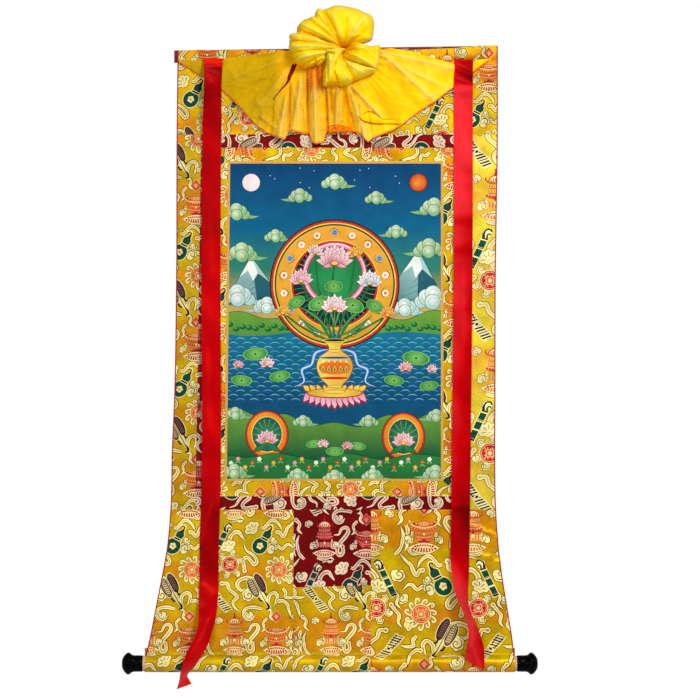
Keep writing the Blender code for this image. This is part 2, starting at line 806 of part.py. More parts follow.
def veil_stand(x, z):
    """How far the veil's front stands off the mount, without the rosette."""
    top = rows_at([row[:2] for row in VEIL_OUTLINE], x)[0]
    sewn = fade(0.012, 0.0, top - z) * fade(0.14, 0.20, abs(x))
    stand = lerp(VEIL_STAND, VEIL_SEWN_STAND, sewn)
    stand += VEIL_LIFT["by"] * hill(VEIL_LIFT, x, z)
    return stand + sum(ridge(fold, x, z) for fold in VEIL_FOLDS)


def veil_front(x, z):
    return CLOTH_FRONT - veil_stand(x, z) - puffs_at(x, z)


def veil_back(x, z):
    """The back of the silk. Above the heading, the rosette rounds out behind as well."""
    behind = ROSETTE_BACK["by"] * hill(ROSETTE_BACK, x, z) * fade(0.008, 0.030, z)
    return CLOTH_FRONT - veil_stand(x, z) + SILK_THICK + behind


def veil_grade(x):
    return "fine" if abs(x - VEIL_FINE["x"]) < VEIL_FINE["reach"] else "coarse"


def filled(outline):
    """Triangles that fill an outline in x, z, with an even spread of points inside it."""
    round_it = []
    for i, start in enumerate(outline):
        end = outline[(i + 1) % len(outline)]
        pitch = VEIL_PITCHES[veil_grade((start.x + end.x) / 2)]
        steps = max(1, round((end - start).length / pitch))
        round_it += [start.lerp(end, k / steps) for k in range(steps)]
    inner = []
    for grade, pitch in VEIL_PITCHES.items():
        rise = pitch * math.sqrt(3) / 2
        for row in range(int(VEIL_GRID["height"] / rise)):
            z = VEIL_GRID["foot"] + row * rise
            for column in range(int(VEIL_GRID["width"] / pitch)):
                x = VEIL_GRID["left"] + (column + 0.5 * (row % 2)) * pitch
                if veil_grade(x) == grade and clear_of(x, z, round_it, pitch):
                    inner.append(Vector((x, z)))
    border = list(range(len(round_it)))
    found = delaunay_2d_cdt(round_it + inner, [], [border], 1, 1e-7)
    return found[0], found[2]


def clear_of(x, z, round_it, pitch):
    """Whether this point is in the outline and not right beside it."""
    top, hem = rows_at(VEIL_OUTLINE, x)
    if not hem + 0.4 * pitch < z < top - 0.4 * pitch:
        return False
    here = Vector((x, z))
    return min((here - point).length for point in round_it) > 0.6 * pitch


def make_veil(home):
    """One solid: the two wings and the skirt as cloth, and the rosette gathered from it."""
    hem = [Vector((x, foot)) for x, _, foot in VEIL_OUTLINE]
    top = [Vector((x, head)) for x, head, _ in reversed(VEIL_OUTLINE)]
    points, faces = filled(hem + top)
    bm = bmesh.new()
    front = [bm.verts.new((p.x, veil_front(p.x, p.y), p.y)) for p in points]
    back = [bm.verts.new((p.x, veil_back(p.x, p.y), p.y)) for p in points]
    for face in faces:
        bm.faces.new([front[i] for i in face])
        bm.faces.new([back[i] for i in reversed(face)])
    rim = [edge for edge in bm.edges if edge.is_boundary and edge.verts[0] in front]
    partner = dict(zip(front, back))
    for edge in rim:
        a, b = edge.verts
        bm.faces.new([a, b, partner[b], partner[a]])
    bmesh.ops.recalc_face_normals(bm, faces=bm.faces)
    mesh = bpy.data.meshes.new("veil")
    bm.to_mesh(mesh)
    bm.free()
    mesh.shade_smooth()
    paint(adopt("veil", mesh, home), YELLOW_SILK, 0.4)


def make_tie(home):
    """The end of the red tie that gathers the veil, seen in the slit beside the skirt."""
    z_top, z_foot = TIE[0][0], TIE[-1][0]

    def place(u, v):
        z = lerp(z_foot, z_top, v)
        middle, width = rows_at(TIE, z)
        x = middle + width * (u - 0.5)
        return x, veil_front(x, z) - TIE_CLEAR - TIE_THICK / 2, z

    mesh = grid_mesh("veil_tie", [0, 0.5, 1], even(12), place)
    paint(as_cloth(adopt("veil_tie", mesh, home), TIE_THICK), MAROON_BROCADE, 0.5)


def front_of(x, z):
    """What the ribbons hang against: the mount, the veil's wings, then the roll."""
    cloth = cloth_y(x, z) - CLOTH_THICK / 2
    top, hem = rows_at(VEIL_OUTLINE, x)
    over_veil = fade(top + 0.005, top + 0.001, z) * fade(hem - 0.02, hem - 0.004, z)
    cloth -= over_veil * (veil_stand(x, min(z, top)) + 0.0004)
    return lerp(cloth, ROLL_FRONT, fade(-1.07, -1.135, z))


def make_ribbon(home, name, rows, slant):
    """A satin ribbon, sewn on under the heading, whose tail turns over the roll."""
    z_values = []
    z = rows[0][0]
    while z > rows[-1][0]:
        z_values.append(z)
        z -= RIBBON_STEP if RIBBON_TAIL <= z <= RIBBON_HEAD else RIBBON_FINE_STEP
    z_values.append(rows[-1][0])

    def place(u, z):
        middle, turn = curve_at(rows, z)
        side = (u - 0.5) * RIBBON_WIDTH
        swing = math.sin(math.radians(turn)) * RIBBON_WIDTH / 2
        spread = math.cos(math.radians(turn)) * RIBBON_WIDTH / 2
        touched = min(front_of(middle + k * abs(spread), z) for k in (-1, -0.5, 0, 0.5, 1))
        lifted = fade(rows[0][0], rows[0][0] - RIBBON_SEWN, z)
        clear = lerp(SEAM_GAP, RIBBON_CLEAR, lifted) + RIBBON_THICK / 2
        x = middle + side * math.cos(math.radians(turn))
        y = touched - clear - abs(swing) * lifted + side * math.sin(math.radians(turn)) * lifted
        cut = slant * (u - 0.5) * 2 * fade(rows[-1][0] + RIBBON_CUT, rows[-1][0], z)
        return x, y, z + cut

    z_values.reverse()
    mesh = grid_mesh(name, even(2), z_values, place)
    paint(as_cloth(adopt(name, mesh, home), RIBBON_THICK), RED_SATIN, 0.3)


def main():
    clear_scene()
    home = collection("thangka")
    make_picture(home)
    make_borders(home)
    make_upper_mount(home)
    make_door(home)
    make_lower_mount(home)
    make_bindings(home)
    make_heading(home)
    make_roller(home)
    make_veil(home)
    make_tie(home)
    make_ribbon(home, "ribbon_left", LEFT_RIBBON, RIBBON_SLANTS["left"])
    make_ribbon(home, "ribbon_right", RIGHT_RIBBON, RIBBON_SLANTS["right"])


main()
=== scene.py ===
"""The looks of a thangka that hangs from its heading: brocade, picture, silk and satin.

Every cloth is charted flat, in the cloth's own two directions, and then laid on the shape
in which it hangs. A chart is a list of (thread, outline) pairs, the later ones on top.
Metres in the object's frame: +Z up, front towards -Y. Charts of the brocade are in mm.
"""

import math

import bpy
import numpy as np
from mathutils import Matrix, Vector
from mathutils.geometry import delaunay_2d_cdt


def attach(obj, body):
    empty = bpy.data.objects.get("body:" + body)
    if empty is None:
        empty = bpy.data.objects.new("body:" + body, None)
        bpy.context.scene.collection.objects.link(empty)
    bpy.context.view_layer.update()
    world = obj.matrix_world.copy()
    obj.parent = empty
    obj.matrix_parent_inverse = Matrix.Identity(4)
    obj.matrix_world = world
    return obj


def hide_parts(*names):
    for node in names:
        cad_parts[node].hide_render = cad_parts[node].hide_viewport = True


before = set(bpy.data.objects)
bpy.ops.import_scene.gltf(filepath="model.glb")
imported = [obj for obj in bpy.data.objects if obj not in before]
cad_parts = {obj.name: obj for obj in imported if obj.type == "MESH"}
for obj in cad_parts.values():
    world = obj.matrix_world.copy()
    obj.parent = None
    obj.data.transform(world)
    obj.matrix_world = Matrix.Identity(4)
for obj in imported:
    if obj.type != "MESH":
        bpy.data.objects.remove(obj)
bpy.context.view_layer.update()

# --- sizes of the mount, as its solids have them ---

MM = 0.001
SEAM_GAP = 0.0003
MEETING = 0.00001  # how far each cut edge here stops short of its seam
SOLID_CLOTH = 0.0016  # thickness of the solids' cloth
CLOTH = 0.0013  # and of the cloth here, between the same two faces
BINDING_WIDTH = 0.0022
SLAT = dict(length=0.608, thick=0.007, height=0.021, edge=0.0032)
SLEEVE_THICK = 0.001
SLEEVE_LENGTH = 0.612
HEADING_X = -0.0033
HEADING_TILT = math.radians(0.826)
SLEEVE_HALF_THICK = SLAT["thick"] / 2 + SEAM_GAP + SLEEVE_THICK
SLEEVE_HALF_HEIGHT = SLAT["height"] / 2 + SEAM_GAP + SLEEVE_THICK
TUCK_DROP, TUCK_DEPTH, TUCK_HALF_WIDTH = 0.0014, 0.0011, 0.002
CLOTH_Y = -(SLEEVE_HALF_THICK + SEAM_GAP + SOLID_CLOTH / 2)
CLOTH_FRONT = CLOTH_Y - SOLID_CLOTH / 2

HEM_RADIUS, HEM_BEND = 0.0156, 0.003
HEM_LAP, HEM_LAP_GAP = 0.012, 0.0004
ROLL_Z = -1.1637
ROLL_Y = CLOTH_Y - HEM_BEND
BEND_Z = ROLL_Z + HEM_RADIUS + HEM_BEND
ROLL_FRONT = ROLL_Y - HEM_RADIUS - SOLID_CLOTH / 2
ROD_ENDS = (-0.3679, 0.3382)
KNOB_LENGTH = 0.0395
HEADING_Z = -SLEEVE_HALF_HEIGHT

FRAME_TOP, FRAME_FOOT = -0.1639, -0.8732
PICTURE_TOP, PICTURE_FOOT = -0.2191, -0.815
LEVELS = dict(  # top and foot of each rectangle, from the outer one in
    frame=(FRAME_TOP, FRAME_FOOT), border=(-0.1892, -0.8479), fillet=(-0.2143, -0.8189),
    picture=(PICTURE_TOP, PICTURE_FOOT),
)
BINDING_TOP = -0.006
DOOR_FOOT_LEFT, DOOR_FOOT_RIGHT = -1.0206, -1.0163

# Seams that run down, as x at FRAME_TOP and x at FRAME_FOOT
SEAMS = dict(
    frame_left=(-0.2581, -0.2692),
    border_left=(-0.2358, -0.2456),
    fillet_left=(-0.207, -0.2148),
    picture_left=(-0.2025, -0.2103),
    picture_right=(0.1951, 0.1951),
    fillet_right=(0.1999, 0.1999),
    border_right=(0.2273, 0.2273),
    frame_right=(0.2477, 0.2477),
    foot_left=(-0.0804, -0.0834),
    foot_right=(0.0628, 0.0628),
)
EDGES = [  # z, left x, right x
    (0.005, -0.3027, 0.3027), (-0.1639, -0.3046, 0.3027), (-0.4392, -0.3057, 0.2987),
    (-0.6849, -0.3102, 0.2981), (-0.7605, -0.3136, 0.2978), (-0.873, -0.3163, 0.2995),
    (-0.9476, -0.3233, 0.3048), (-1.0081, -0.3342, 0.3127), (-1.0667, -0.3457, 0.3221),
    (-1.1083, -0.3537, 0.3289), (-1.147, -0.3622, 0.3338), (-1.1801, -0.3672, 0.3374),
]
HEADING_JOIN = -0.006  # where its brocade is pieced, behind the veil
HEADING_DROPS = [  # x, how far the brocade stays below the top of the sleeve
    (-0.3027, 0.0006), (-0.238, 0.0002), (-0.23, 0.002), (-0.212, 0.0011), (0.08, 0.0048), (0.127, 0.007),
    (0.239, 0.0032), (0.25, 0.0002), (0.3027, 0.0002),
]

# --- small helpers ---


def fade(start, end, value):
    """0 at start and 1 at end, eased at both. Takes a number or an array."""
    t = np.clip((value - start) / (end - start), 0.0, 1.0)
    return t * t * (3 - 2 * t)


def lerp(a, b, t):
    return a + (b - a) * t


def spot(x, y, angle, across, high=None):
    """The point at this angle on a round or an oval about x, y."""
    return x + across * math.cos(angle), y + (across if high is None else high) * math.sin(angle)


def rows_at(rows, key):
    """The table's second column at this value of its first one, on straight lines."""
    return np.interp(key, *np.array(sorted(rows), float).T)


def curve_at(rows, key, column):
    """As rows_at for any column, on one smooth curve through the rows."""
    ordered = np.array(sorted(rows), float)
    keys, values = ordered[:, 0], ordered[:, column]
    slopes = np.gradient(values, keys)
    key = np.clip(key, keys[0], keys[-1])
    at = np.clip(np.searchsorted(keys, key, side="right") - 1, 0, len(keys) - 2)
    span = keys[at + 1] - keys[at]
    t = (key - keys[at]) / span
    start = (2 * t**3 - 3 * t**2 + 1) * values[at] + (t**3 - 2 * t**2 + t) * slopes[at] * span
    return start + (3 * t**2 - 2 * t**3) * values[at + 1] + (t**3 - t**2) * slopes[at + 1] * span


def colour(code, alpha=1.0):
    """The linear colour of a six-digit screen colour."""
    parts = [int(code[i : i + 2], 16) / 255 for i in (0, 2, 4)]
    linear = [c / 12.92 if c <= 0.04045 else ((c + 0.055) / 1.055) ** 2.4 for c in parts]
    return (*linear, alpha)


def adopt(name, mesh):
    obj = bpy.data.objects.new(name, mesh)
    bpy.context.scene.collection.objects.link(obj)
    return obj


# --- how the mount's cloth hangs ---

WAVES = dict(height=0.0008, across=27, down=7, start=0.5)
FOOT_WAVES = dict(height=0.002, across=31, down=9, start=-0.80, full=-1.05)
CREASES = [  # from x, z, to x, z, half width, height
    (0.245, -0.899, 0.304, -0.928, 0.0045, 0.0036),
    (0.255, -0.953, 0.31, -0.975, 0.005, 0.0034),
    (-0.33, -1.01, -0.27, -1.06, 0.016, 0.0026),
    (0.1, -1.1, 0.19, -1.05, 0.02, 0.002),
]


def seam(name):
    """The x of this seam as a function of z."""
    top, foot = SEAMS[name]
    return lambda z: lerp(top, foot, (FRAME_TOP - z) / (FRAME_TOP - FRAME_FOOT))


def left_edge(z):
    return curve_at(EDGES, z, 1)


def right_edge(z):
    return curve_at(EDGES, z, 2)


def inside_left(z):
    return left_edge(z) + BINDING_WIDTH


def inside_right(z):
    return right_edge(z) - BINDING_WIDTH


def heading_top(x):
    return (x - HEADING_X) * math.tan(HEADING_TILT)


def stitches_at(x):
    return heading_top(x) - 2 * SLEEVE_HALF_HEIGHT - TUCK_DROP


def ridge(fold, x, z):
    """Height of a soft ridge at this place: full along its line, fading at its ends."""
    x0, z0, x1, z1, half_width, height = fold
    along_x, along_z = x1 - x0, z1 - z0
    length = math.hypot(along_x, along_z)
    t = ((x - x0) * along_x + (z - z0) * along_z) / length**2
    away = np.abs((x - x0) * along_z - (z - z0) * along_x) / length
    ends = fade(-0.15, 0.15, t) * fade(1.25, 0.95, t)
    return height * ends * np.exp(-((away / half_width) ** 2))


def hem_path():
    """Points y, z of the cloth's middle: the bend above the roll, the roll, and the lap behind."""
    lap_y = CLOTH_Y + SOLID_CLOTH + HEM_LAP_GAP
    reach = HEM_RADIUS + HEM_BEND
    out = lap_y + HEM_BEND - ROLL_Y
    lap_z = ROLL_Z + math.sqrt(reach**2 - out**2)
    leave = math.degrees(math.acos(out / reach))
    arcs = [
        ((ROLL_Y, BEND_Z), HEM_BEND, 0, -90, 8),
        ((ROLL_Y, ROLL_Z), HEM_RADIUS, 90, 360 + leave, 80),
        ((lap_y + HEM_BEND, lap_z), HEM_BEND, 180 + leave, 180, 8),
    ]
    path = [(CLOTH_Y, BEND_Z)]
    for (y, z), radius, start, end, steps in arcs:
        for i in range(1, steps + 1):
            path.append(spot(y, z, math.radians(lerp(start, end, i / steps)), radius))
    return np.array(path + [(lap_y, lap_z + HEM_LAP)])


HEM = hem_path()
HEM_RUN = np.concatenate([[0], np.cumsum(np.hypot(*np.diff(HEM, axis=0).T))])
HEM_LENGTH = float(HEM_RUN[-1])


def hang(x, down):
    """Where the cloth's middle hangs. down is z, and below the bend it runs on round the roll."""
    on_roll = np.clip(BEND_Z - down, 0, HEM_LENGTH)
    z = np.where(down >= BEND_Z, down, np.interp(on_roll, HEM_RUN, HEM[:, 1]))
    y = np.interp(on_roll, HEM_RUN, HEM[:, 0])
    at_foot = fade(FOOT_WAVES["start"], FOOT_WAVES["full"], z)
    free = fade(-0.02, -0.1, z) * fade(BEND_Z + 0.002, BEND_Z + 0.045, down)
    across = WAVES["across"] * x + WAVES["start"]
    wave = WAVES["height"] * np.sin(across) * np.cos(WAVES["down"] * z)
    slant = FOOT_WAVES["across"] * x + FOOT_WAVES["down"] * z
    wave += FOOT_WAVES["height"] * at_foot * np.sin(slant)
    folds = sum(ridge(crease, x, z) for crease in CREASES)
    tuck = TUCK_DEPTH * np.exp(-(((z - stitches_at(x)) / TUCK_HALF_WIDTH) ** 2))
    # Puckers above the hem's stitches and under the heading's
    pucker = np.sin(560 * x) + 0.7 * np.sin(371 * x + 2) + 0.5 * np.sin(913 * x + 1)
    near_hem = fade(BEND_Z + 0.02, BEND_Z + 0.003, down) * (down > BEND_Z - 0.001)
    near_head = np.exp(-(((z - stitches_at(x)) / 0.007) ** 2))
    small = pucker * (0.00022 * near_hem + 0.00016 * near_head)
    return x, y + free * (wave - folds) + tuck + small, z


# --- cloth from a chart ---


def inset(outline, by):
    """The outline moved in by this much. It runs anticlockwise."""
    moved = []
    for i, corner in enumerate(outline):
        before = (corner - outline[i - 1]).normalized()
        after = (outline[(i + 1) % len(outline)] - corner).normalized()
        inward = Vector((-before.y - after.y, before.x + after.x))
        moved.append(corner + inward * by / (1 + before.dot(after)))
    return moved


def from_outline(points, outline):
    """Distance of each point from the outline."""
    ends = np.array([(p.x, p.y) for p in outline])
    found = np.full(len(points), 1e9)
    for a, b in zip(ends, np.roll(ends, -1, axis=0)):
        along = b - a
        t = np.clip(((points - a) @ along) / max(along @ along, 1e-12), 0, 1)
        away = points - a - t[:, None] * along
        found = np.minimum(found, np.hypot(away[:, 0], away[:, 1]))
    return found


def partition(outline, chart, pitch, rows):
    """The outline's inside as triangles, each with the number of the chart's top shape there.

    pitch is the spacing of the points between the shapes, and rows are lines across."""
    points, loops = [], []

    def add(loop):
        loops.append(list(range(len(points), len(points) + len(loop))))
        points.extend(Vector(p) for p in loop)

    add(outline)
    low = Vector((min(p.x for p in outline), min(p.y for p in outline)))
    high = Vector((max(p.x for p in outline), max(p.y for p in outline)))
    number = {}
    for i, (_, loop) in enumerate(chart):
        xs, ys = [p[0] for p in loop], [p[1] for p in loop]
        if max(xs) < low.x or min(xs) > high.x or max(ys) < low.y or min(ys) > high.y:
            continue
        number[len(loops)] = i
        turning = sum(a[0] * b[1] - b[0] * a[1] for a, b in zip(loop, [*loop[1:], loop[0]]))
        add(loop if turning > 0 else loop[::-1])
    for depth in (0.0008, 0.0024):
        rim = [p for p in inset(outline, depth) if low.x < p.x < high.x and low.y < p.y < high.y]
        points.extend(rim)
    for row in range(1, int((high.y - low.y) / pitch)):
        for column in range(1, int((high.x - low.x) / pitch)):
            points.append(low + Vector((column + 0.5 * (row % 2), row)) * pitch)
    lines = []
    for row in rows:
        lines.append((len(points), len(points) + 1))
        points.extend([Vector((low.x - 0.01, row)), Vector((high.x + 0.01, row))])
    made = delaunay_2d_cdt(points, lines, loops, 1, 1e-6, True)
    flat = np.array([(p.x, p.y) for p in made[0]])
    faces, tops = [], []
    for face, owners in zip(made[2], made[5]):
        if 0 in owners:
            faces.append(face)
            tops.append(max((number.get(owner, -1) for owner in owners), default=-1))
    faces = np.array(faces)
    used, faces = np.unique(faces, return_inverse=True)
    return flat[used], faces.reshape(-1, 3), np.array(tops)


def facing(place, flat):
    """Points of the surface and its outward direction there, from small steps both ways."""
    step = 0.0003
    x, down = flat[:, 0], flat[:, 1]
    here = np.stack(place(x, down), axis=1)
    right = np.stack(place(x + step, down), axis=1) - np.stack(place(x - step, down), axis=1)
    up = np.stack(place(x, down + step), axis=1) - np.stack(place(x, down - step), axis=1)
    out = np.cross(right, up)
    return here, out / np.linalg.norm(out, axis=1)[:, None]


def rim_of(faces):
    """The edges that only one face has, each in its face's direction."""
    edges = np.concatenate([faces[:, [0, 1]], faces[:, [1, 2]], faces[:, [2, 0]]])
    _, first, times = np.unique(np.sort(edges, axis=1), axis=0, return_index=True, return_counts=True)
    return edges[first[times == 1]]


def even_back(flat, faces, outline, pitch, rows):
    """Flat points and triangles for a sheet's back, and which of its points lies below each of the front's.

    It has the front's rim, with an even grid of points inside in place of the chart's."""
    follow = dict(rim_of(faces).tolist())
    loop = [min(follow)]
    while follow[loop[-1]] != loop[0]:
        loop.append(follow[loop[-1]])
    low, high = flat.min(axis=0), flat.max(axis=0)
    xs = np.arange(low[0] + pitch / 2, high[0], pitch)
    steps = np.arange(low[1] + pitch / 2, high[1], pitch)
    steps = steps[np.min(np.abs(steps[:, None] - np.array([*rows, 9.0])), axis=1) > pitch / 3]
    inner = np.array([
        (x + pitch / 4 * (k % 2 * 2 - 1), y)
        for k, y in enumerate([*steps, *rows]) for x in xs
    ])
    inner = inner[from_outline(inner, outline) > pitch / 4]
    points = [Vector(p) for p in (*flat[loop], *inner)]
    made = delaunay_2d_cdt(points, [], [list(range(len(loop)))], 1, 1e-9, True)
    assert len(loop) == len(follow), "the rim is not one loop"
    inside = np.array([face for face, owners in zip(made[2], made[5]) if 0 in owners])
    used, inside = np.unique(inside, return_inverse=True)
    below = np.zeros(len(flat), int)
    for i, origins in enumerate(made[3]):
        for origin in origins:
            if origin < len(loop):
                below[loop[origin]] = np.searchsorted(used, i)
    return np.array([(p.x, p.y) for p in made[0]])[used], inside.reshape(-1, 3), below


def sheet_mesh(name, front_sheet, back_sheet, below, thick, shade):
    """A closed sheet: front, back and rim, with its colours and its flat measure as UVs."""
    flat, faces, here, out = front_sheet
    back_flat, back_faces, back_here, back_out = back_sheet
    count = len(here)
    points = np.concatenate([here + out * thick / 2, back_here - back_out * thick / 2])
    rim = rim_of(faces)
    backs = back_faces[:, ::-1] + count
    walls = np.stack([rim[:, 1], rim[:, 0], below[rim[:, 0]] + count, below[rim[:, 1]] + count], axis=1)
    mesh = bpy.data.meshes.new(name)
    mesh.from_pydata(points, [], [*faces.tolist(), *backs.tolist(), *walls.tolist()])
    corners = np.concatenate([faces.ravel(), backs.ravel(), walls.ravel()])
    on_cloth = np.concatenate([flat, back_flat])[corners]
    uv = mesh.uv_layers.new(name="cloth")
    uv.uv.foreach_set("vector", on_cloth.astype(np.float32).ravel())
    front, back = shade
    wall_owner = np.zeros(count, int)
    wall_owner[faces.ravel()] = np.repeat(np.arange(len(faces)), 3)
    tint = np.concatenate(
        [front.reshape(-1, 4), back[:, ::-1].reshape(-1, 4), front[wall_owner[walls[:, 1]], 0].repeat(4, 0)]
    )
    layer = mesh.attributes.new("thread", "FLOAT_COLOR", "CORNER")
    layer.data.foreach_set("color", tint.astype(np.float32).ravel())
    mesh.shade_smooth()
    index = np.repeat([0, 1, 0], (len(faces), len(backs), len(walls)))
    mesh.polygons.foreach_set("material_index", index.astype(np.int32))
    side = np.concatenate([out, -back_out])[corners[: 3 * (len(faces) + len(backs))]]
    a, b, c = (points[walls[:, i]] for i in (0, 1, 2))
    wall_out = np.cross(b - a, c - a)
    wall_out /= np.maximum(np.linalg.norm(wall_out, axis=1), 1e-12)[:, None]
    mesh.normals_split_custom_set(np.concatenate([side, wall_out.repeat(4, 0)]))
    return mesh


# --- charts: shapes of thread ---


def turns(count, start=0.0):
    """This many angles, spread evenly round."""
    return [2 * math.pi * k / count + start for k in range(count)]


def each(shape, *rows, **shared):
    """A chart of one such shape for each row of its measures."""
    return [pair for row in rows for pair in shape(*row, **shared)]


def disc(thread, x, y, across, high=None, steps=14):
    return [(thread, [spot(x, y, a, across, high) for a in turns(steps)])]


def petal(thread, x, y, length, width, degrees, steps):
    """A pointed oval from x, y in this direction."""
    side = [
        (length * i / steps, width / 2 * math.sin(math.pi * (i / steps) ** 0.8))
        for i in range(steps + 1)
    ]
    loop = side[:-1] + [(along, -wide) for along, wide in side[:0:-1]]
    return placed([(thread, loop)], degrees, (x, y))


def bar(thread, y, thick, width, lean=0.0):
    """A bar across at this height, whose right end is this much higher."""
    half = width / 2
    low, high = y - thick / 2, y + thick / 2
    rise = lean / 2
    return [(thread, [(-half, low - rise), (half, low + rise), (half, high + rise), (-half, high - rise)])]


def smooth(points, steps):
    """Points on a smooth curve through these."""
    points = np.array(points, float)
    ends = np.concatenate([[2 * points[0] - points[1]], points, [2 * points[-1] - points[-2]]])
    found = []
    for a, b, c, d in zip(ends, ends[1:], ends[2:], ends[3:]):
        for t in np.arange(steps) / steps:
            bend = (2 * a - 5 * b + 4 * c - d) * t**2 + (3 * b - a - 3 * c + d) * t**3
            found.append((2 * b + (c - a) * t + bend) / 2)
    return np.array(found + [points[-1]])


def stroke(thread, points, widths, steps=3):
    """A line of thread, as a chain of four-sided pieces. widths are spread evenly along it."""
    line = smooth(points, steps)
    along = np.gradient(line, axis=0)
    along /= np.maximum(np.hypot(*along.T), 1e-9)[:, None]
    half = np.interp(np.linspace(0, 1, len(line)), np.linspace(0, 1, len(widths)), widths) / 2
    side = np.stack([-along[:, 1], along[:, 0]], axis=1) * half[:, None]
    left, right = (line + side).tolist(), (line - side).tolist()
    links = zip(right, right[1:], left[1:], left)
    return [(thread, round_middle(link)) for link in links]


def round_middle(corners):
    """The corners in order round their middle, so that no side crosses another."""
    x, y = sum(p[0] for p in corners) / 4, sum(p[1] for p in corners) / 4
    return sorted(corners, key=lambda p: math.atan2(p[1] - y, p[0] - x))


def placed(chart, degrees=0.0, at=(0.0, 0.0), size=1.0, mirrored=False):
    """The chart sized, mirrored, turned and moved, in that order."""
    c, s = math.cos(math.radians(degrees)) * size, math.sin(math.radians(degrees)) * size
    flip = -1 if mirrored else 1
    return [
        (thread, [(at[0] + flip * x * c - y * s, at[1] + flip * x * s + y * c) for x, y in loop][::flip])
        for thread, loop in chart
    ]


# --- the brocade's motifs, in mm ---

BODY = (0.8, 1.12, 0.86, 1.08, 0.9, 0.7, 0.22)


def cloud(width, points, head):
    """A cream cloud ribbon with a shaded edge, a fine vein and a thin tail. head makes its start round."""
    chart = []
    for thread, grow in (("shade", 1), ("cream", 0)):
        chart += disc(thread, *points[0], head + 1.3 * grow, steps=12) if head else []
        chart += stroke(thread, points, [width * w + 2.7 * grow for w in BODY])
    chart += disc("vein", *points[0], head * 0.5, head * 0.42, steps=8) if head else []
    return chart + stroke("vein", points[:-1], [width * 0.18, width * 0.22, width * 0.2, 0.3])


def scroll(x, y, radius, degrees, hand):
    """A lobed cloud head, rolled up like a snail."""
    lobes = []
    for k in range(5):
        middle = spot(0, 0, math.radians(62 * k), radius * 0.52, radius * 0.46)
        lobes.append((*middle, radius * (0.56 - 0.05 * k)))
    chart = []
    for thread, grow in (("shade", 1.1), ("cream", 0)):
        for *middle, r in lobes:
            chart += disc(thread, *middle, r + grow, steps=12)
    roll = [
        (0.62, 0.3), (0.2, 0.66), (-0.44, 0.42), (-0.52, -0.22), (0.0, -0.5), (0.32, -0.12), (0.0, 0.16),
        (-0.18, -0.06),
    ]
    widths = (0.4, radius * 0.17, radius * 0.15, radius * 0.13, 0.6)
    chart += stroke("shade", [(radius * a, radius * b) for a, b in roll], widths, 2)
    return placed(chart, degrees, (x, y), mirrored=hand < 0)


def shell(x, y, size, degrees, hand):
    """A fan-shaped cloud head: four lobes in an arc, with a rib between each."""
    chart, ribs = [], []
    spots = [spot(0, 0, math.radians(a), size * 0.72, size * 0.66) for a in (150, 105, 60, 12)]
    for cx, cy in spots:
        chart += disc("shade", cx, cy, size * 0.37 + 1.1, steps=10)
    chart += disc("shade", 0, -size * 0.06, size * 0.6 + 1.1, size * 0.5 + 1.1, steps=12)
    for cx, cy in spots:
        chart += disc("cream", cx, cy, size * 0.37, steps=10)
        ribs += stroke(
            "shade", [(cx * 1.12, cy * 1.12), (cx * 0.42, cy * 0.4)], (size * 0.09, size * 0.07), 1
        )
    chart += disc("cream", 0, -size * 0.06, size * 0.6, size * 0.5, steps=12)
    ribs += stroke(
        "vein", [(-size * 0.3, -size * 0.3), (0, -size * 0.05), (size * 0.34, -size * 0.28)],
        (0.7, 1.1, 0.7), 2,
    )
    return placed(chart + ribs, degrees, (x, y), mirrored=hand < 0)


def gourd():
    """A bottle gourd with a flower on its belly and a curled stem."""
    outline = disc("cream", 0, 0, 15.4, 16.8, steps=22) + disc("cream", 0, 25, 9.2, 9.4)
    outline += stroke("cream", [(0, 12), (0, 20)], (17, 16), steps=1)
    outline += stroke("cream", [(0, 30), (1, 38), (-1, 44), (-6, 42), (-6, 39)], (8.5, 4.8, 4.6, 4.6))
    chart = outline + disc("green", 0, 0, 13.9, 15.4, steps=22) + disc("green", 0, 25, 7.8, 8.2, steps=12)
    for a in turns(5, math.radians(90)):
        chart += disc("cream", *spot(0, 0, a, 3.7, 4.0), 2.9, 3.0, steps=8)
    for a in turns(5, math.radians(126)):
        chart += disc("apricot", *spot(0, 0, a, 2.2, 2.4), 1.0, steps=6)
    chart += stroke("vein", [(-5.4, 0), (5.4, 0)], (0.8, 0.8), 1) + disc("shade", 0, 0, 1.2, steps=6)
    for y, thick, thread in (
        (13.6, 1.4, "cream"), (16.0, 3.0, "black"), (18.2, 1.3, "cream"), (20.0, 1.8, "black")
    ):
        chart += bar(thread, y, thick, 13.4, lean=1.5)
    chart += stroke("black", [(0, 31), (0.6, 37), (-0.6, 42), (-4, 42.5), (-6, 39)], (7.0, 2.8, 2.0, 2.6))
    return placed(chart, -33)


def flute():
    """A banded flute that ends in a leafy curl."""
    chart = bar("cream", -1.5, 62, 11.6)
    rows = [
        ("black", -29.8, 3.2), ("green", -20.6, 11.6), ("green", -6.6, 11.6), ("green", 8.4, 10.8),
        ("black", 17.6, 3.6),
    ]
    for thread, y, thick in rows:
        chart += bar(thread, y, thick, 9.6, lean=1.2)
    for y, x in ((-27.2, 0), (-20, 2), (1.6, 0)):
        chart += bar("black", y, 1.3, 9.4 - 2 * x, lean=1.5)
    chart += disc("shade", 0, 26, 8.4) + disc("cream", 0, 26, 7.6)
    chart += stroke("black", [(-2.6, 18), (-4.6, 24), (-3.6, 30), (1.5, 33), (5.4, 31)], (4.6, 2.6, 2.2, 2.8))
    return placed(chart + stroke("green", [(2.6, 19), (1.4, 24), (4.2, 27), (6.6, 25)], (3.2, 2.2, 1.6)), -26)


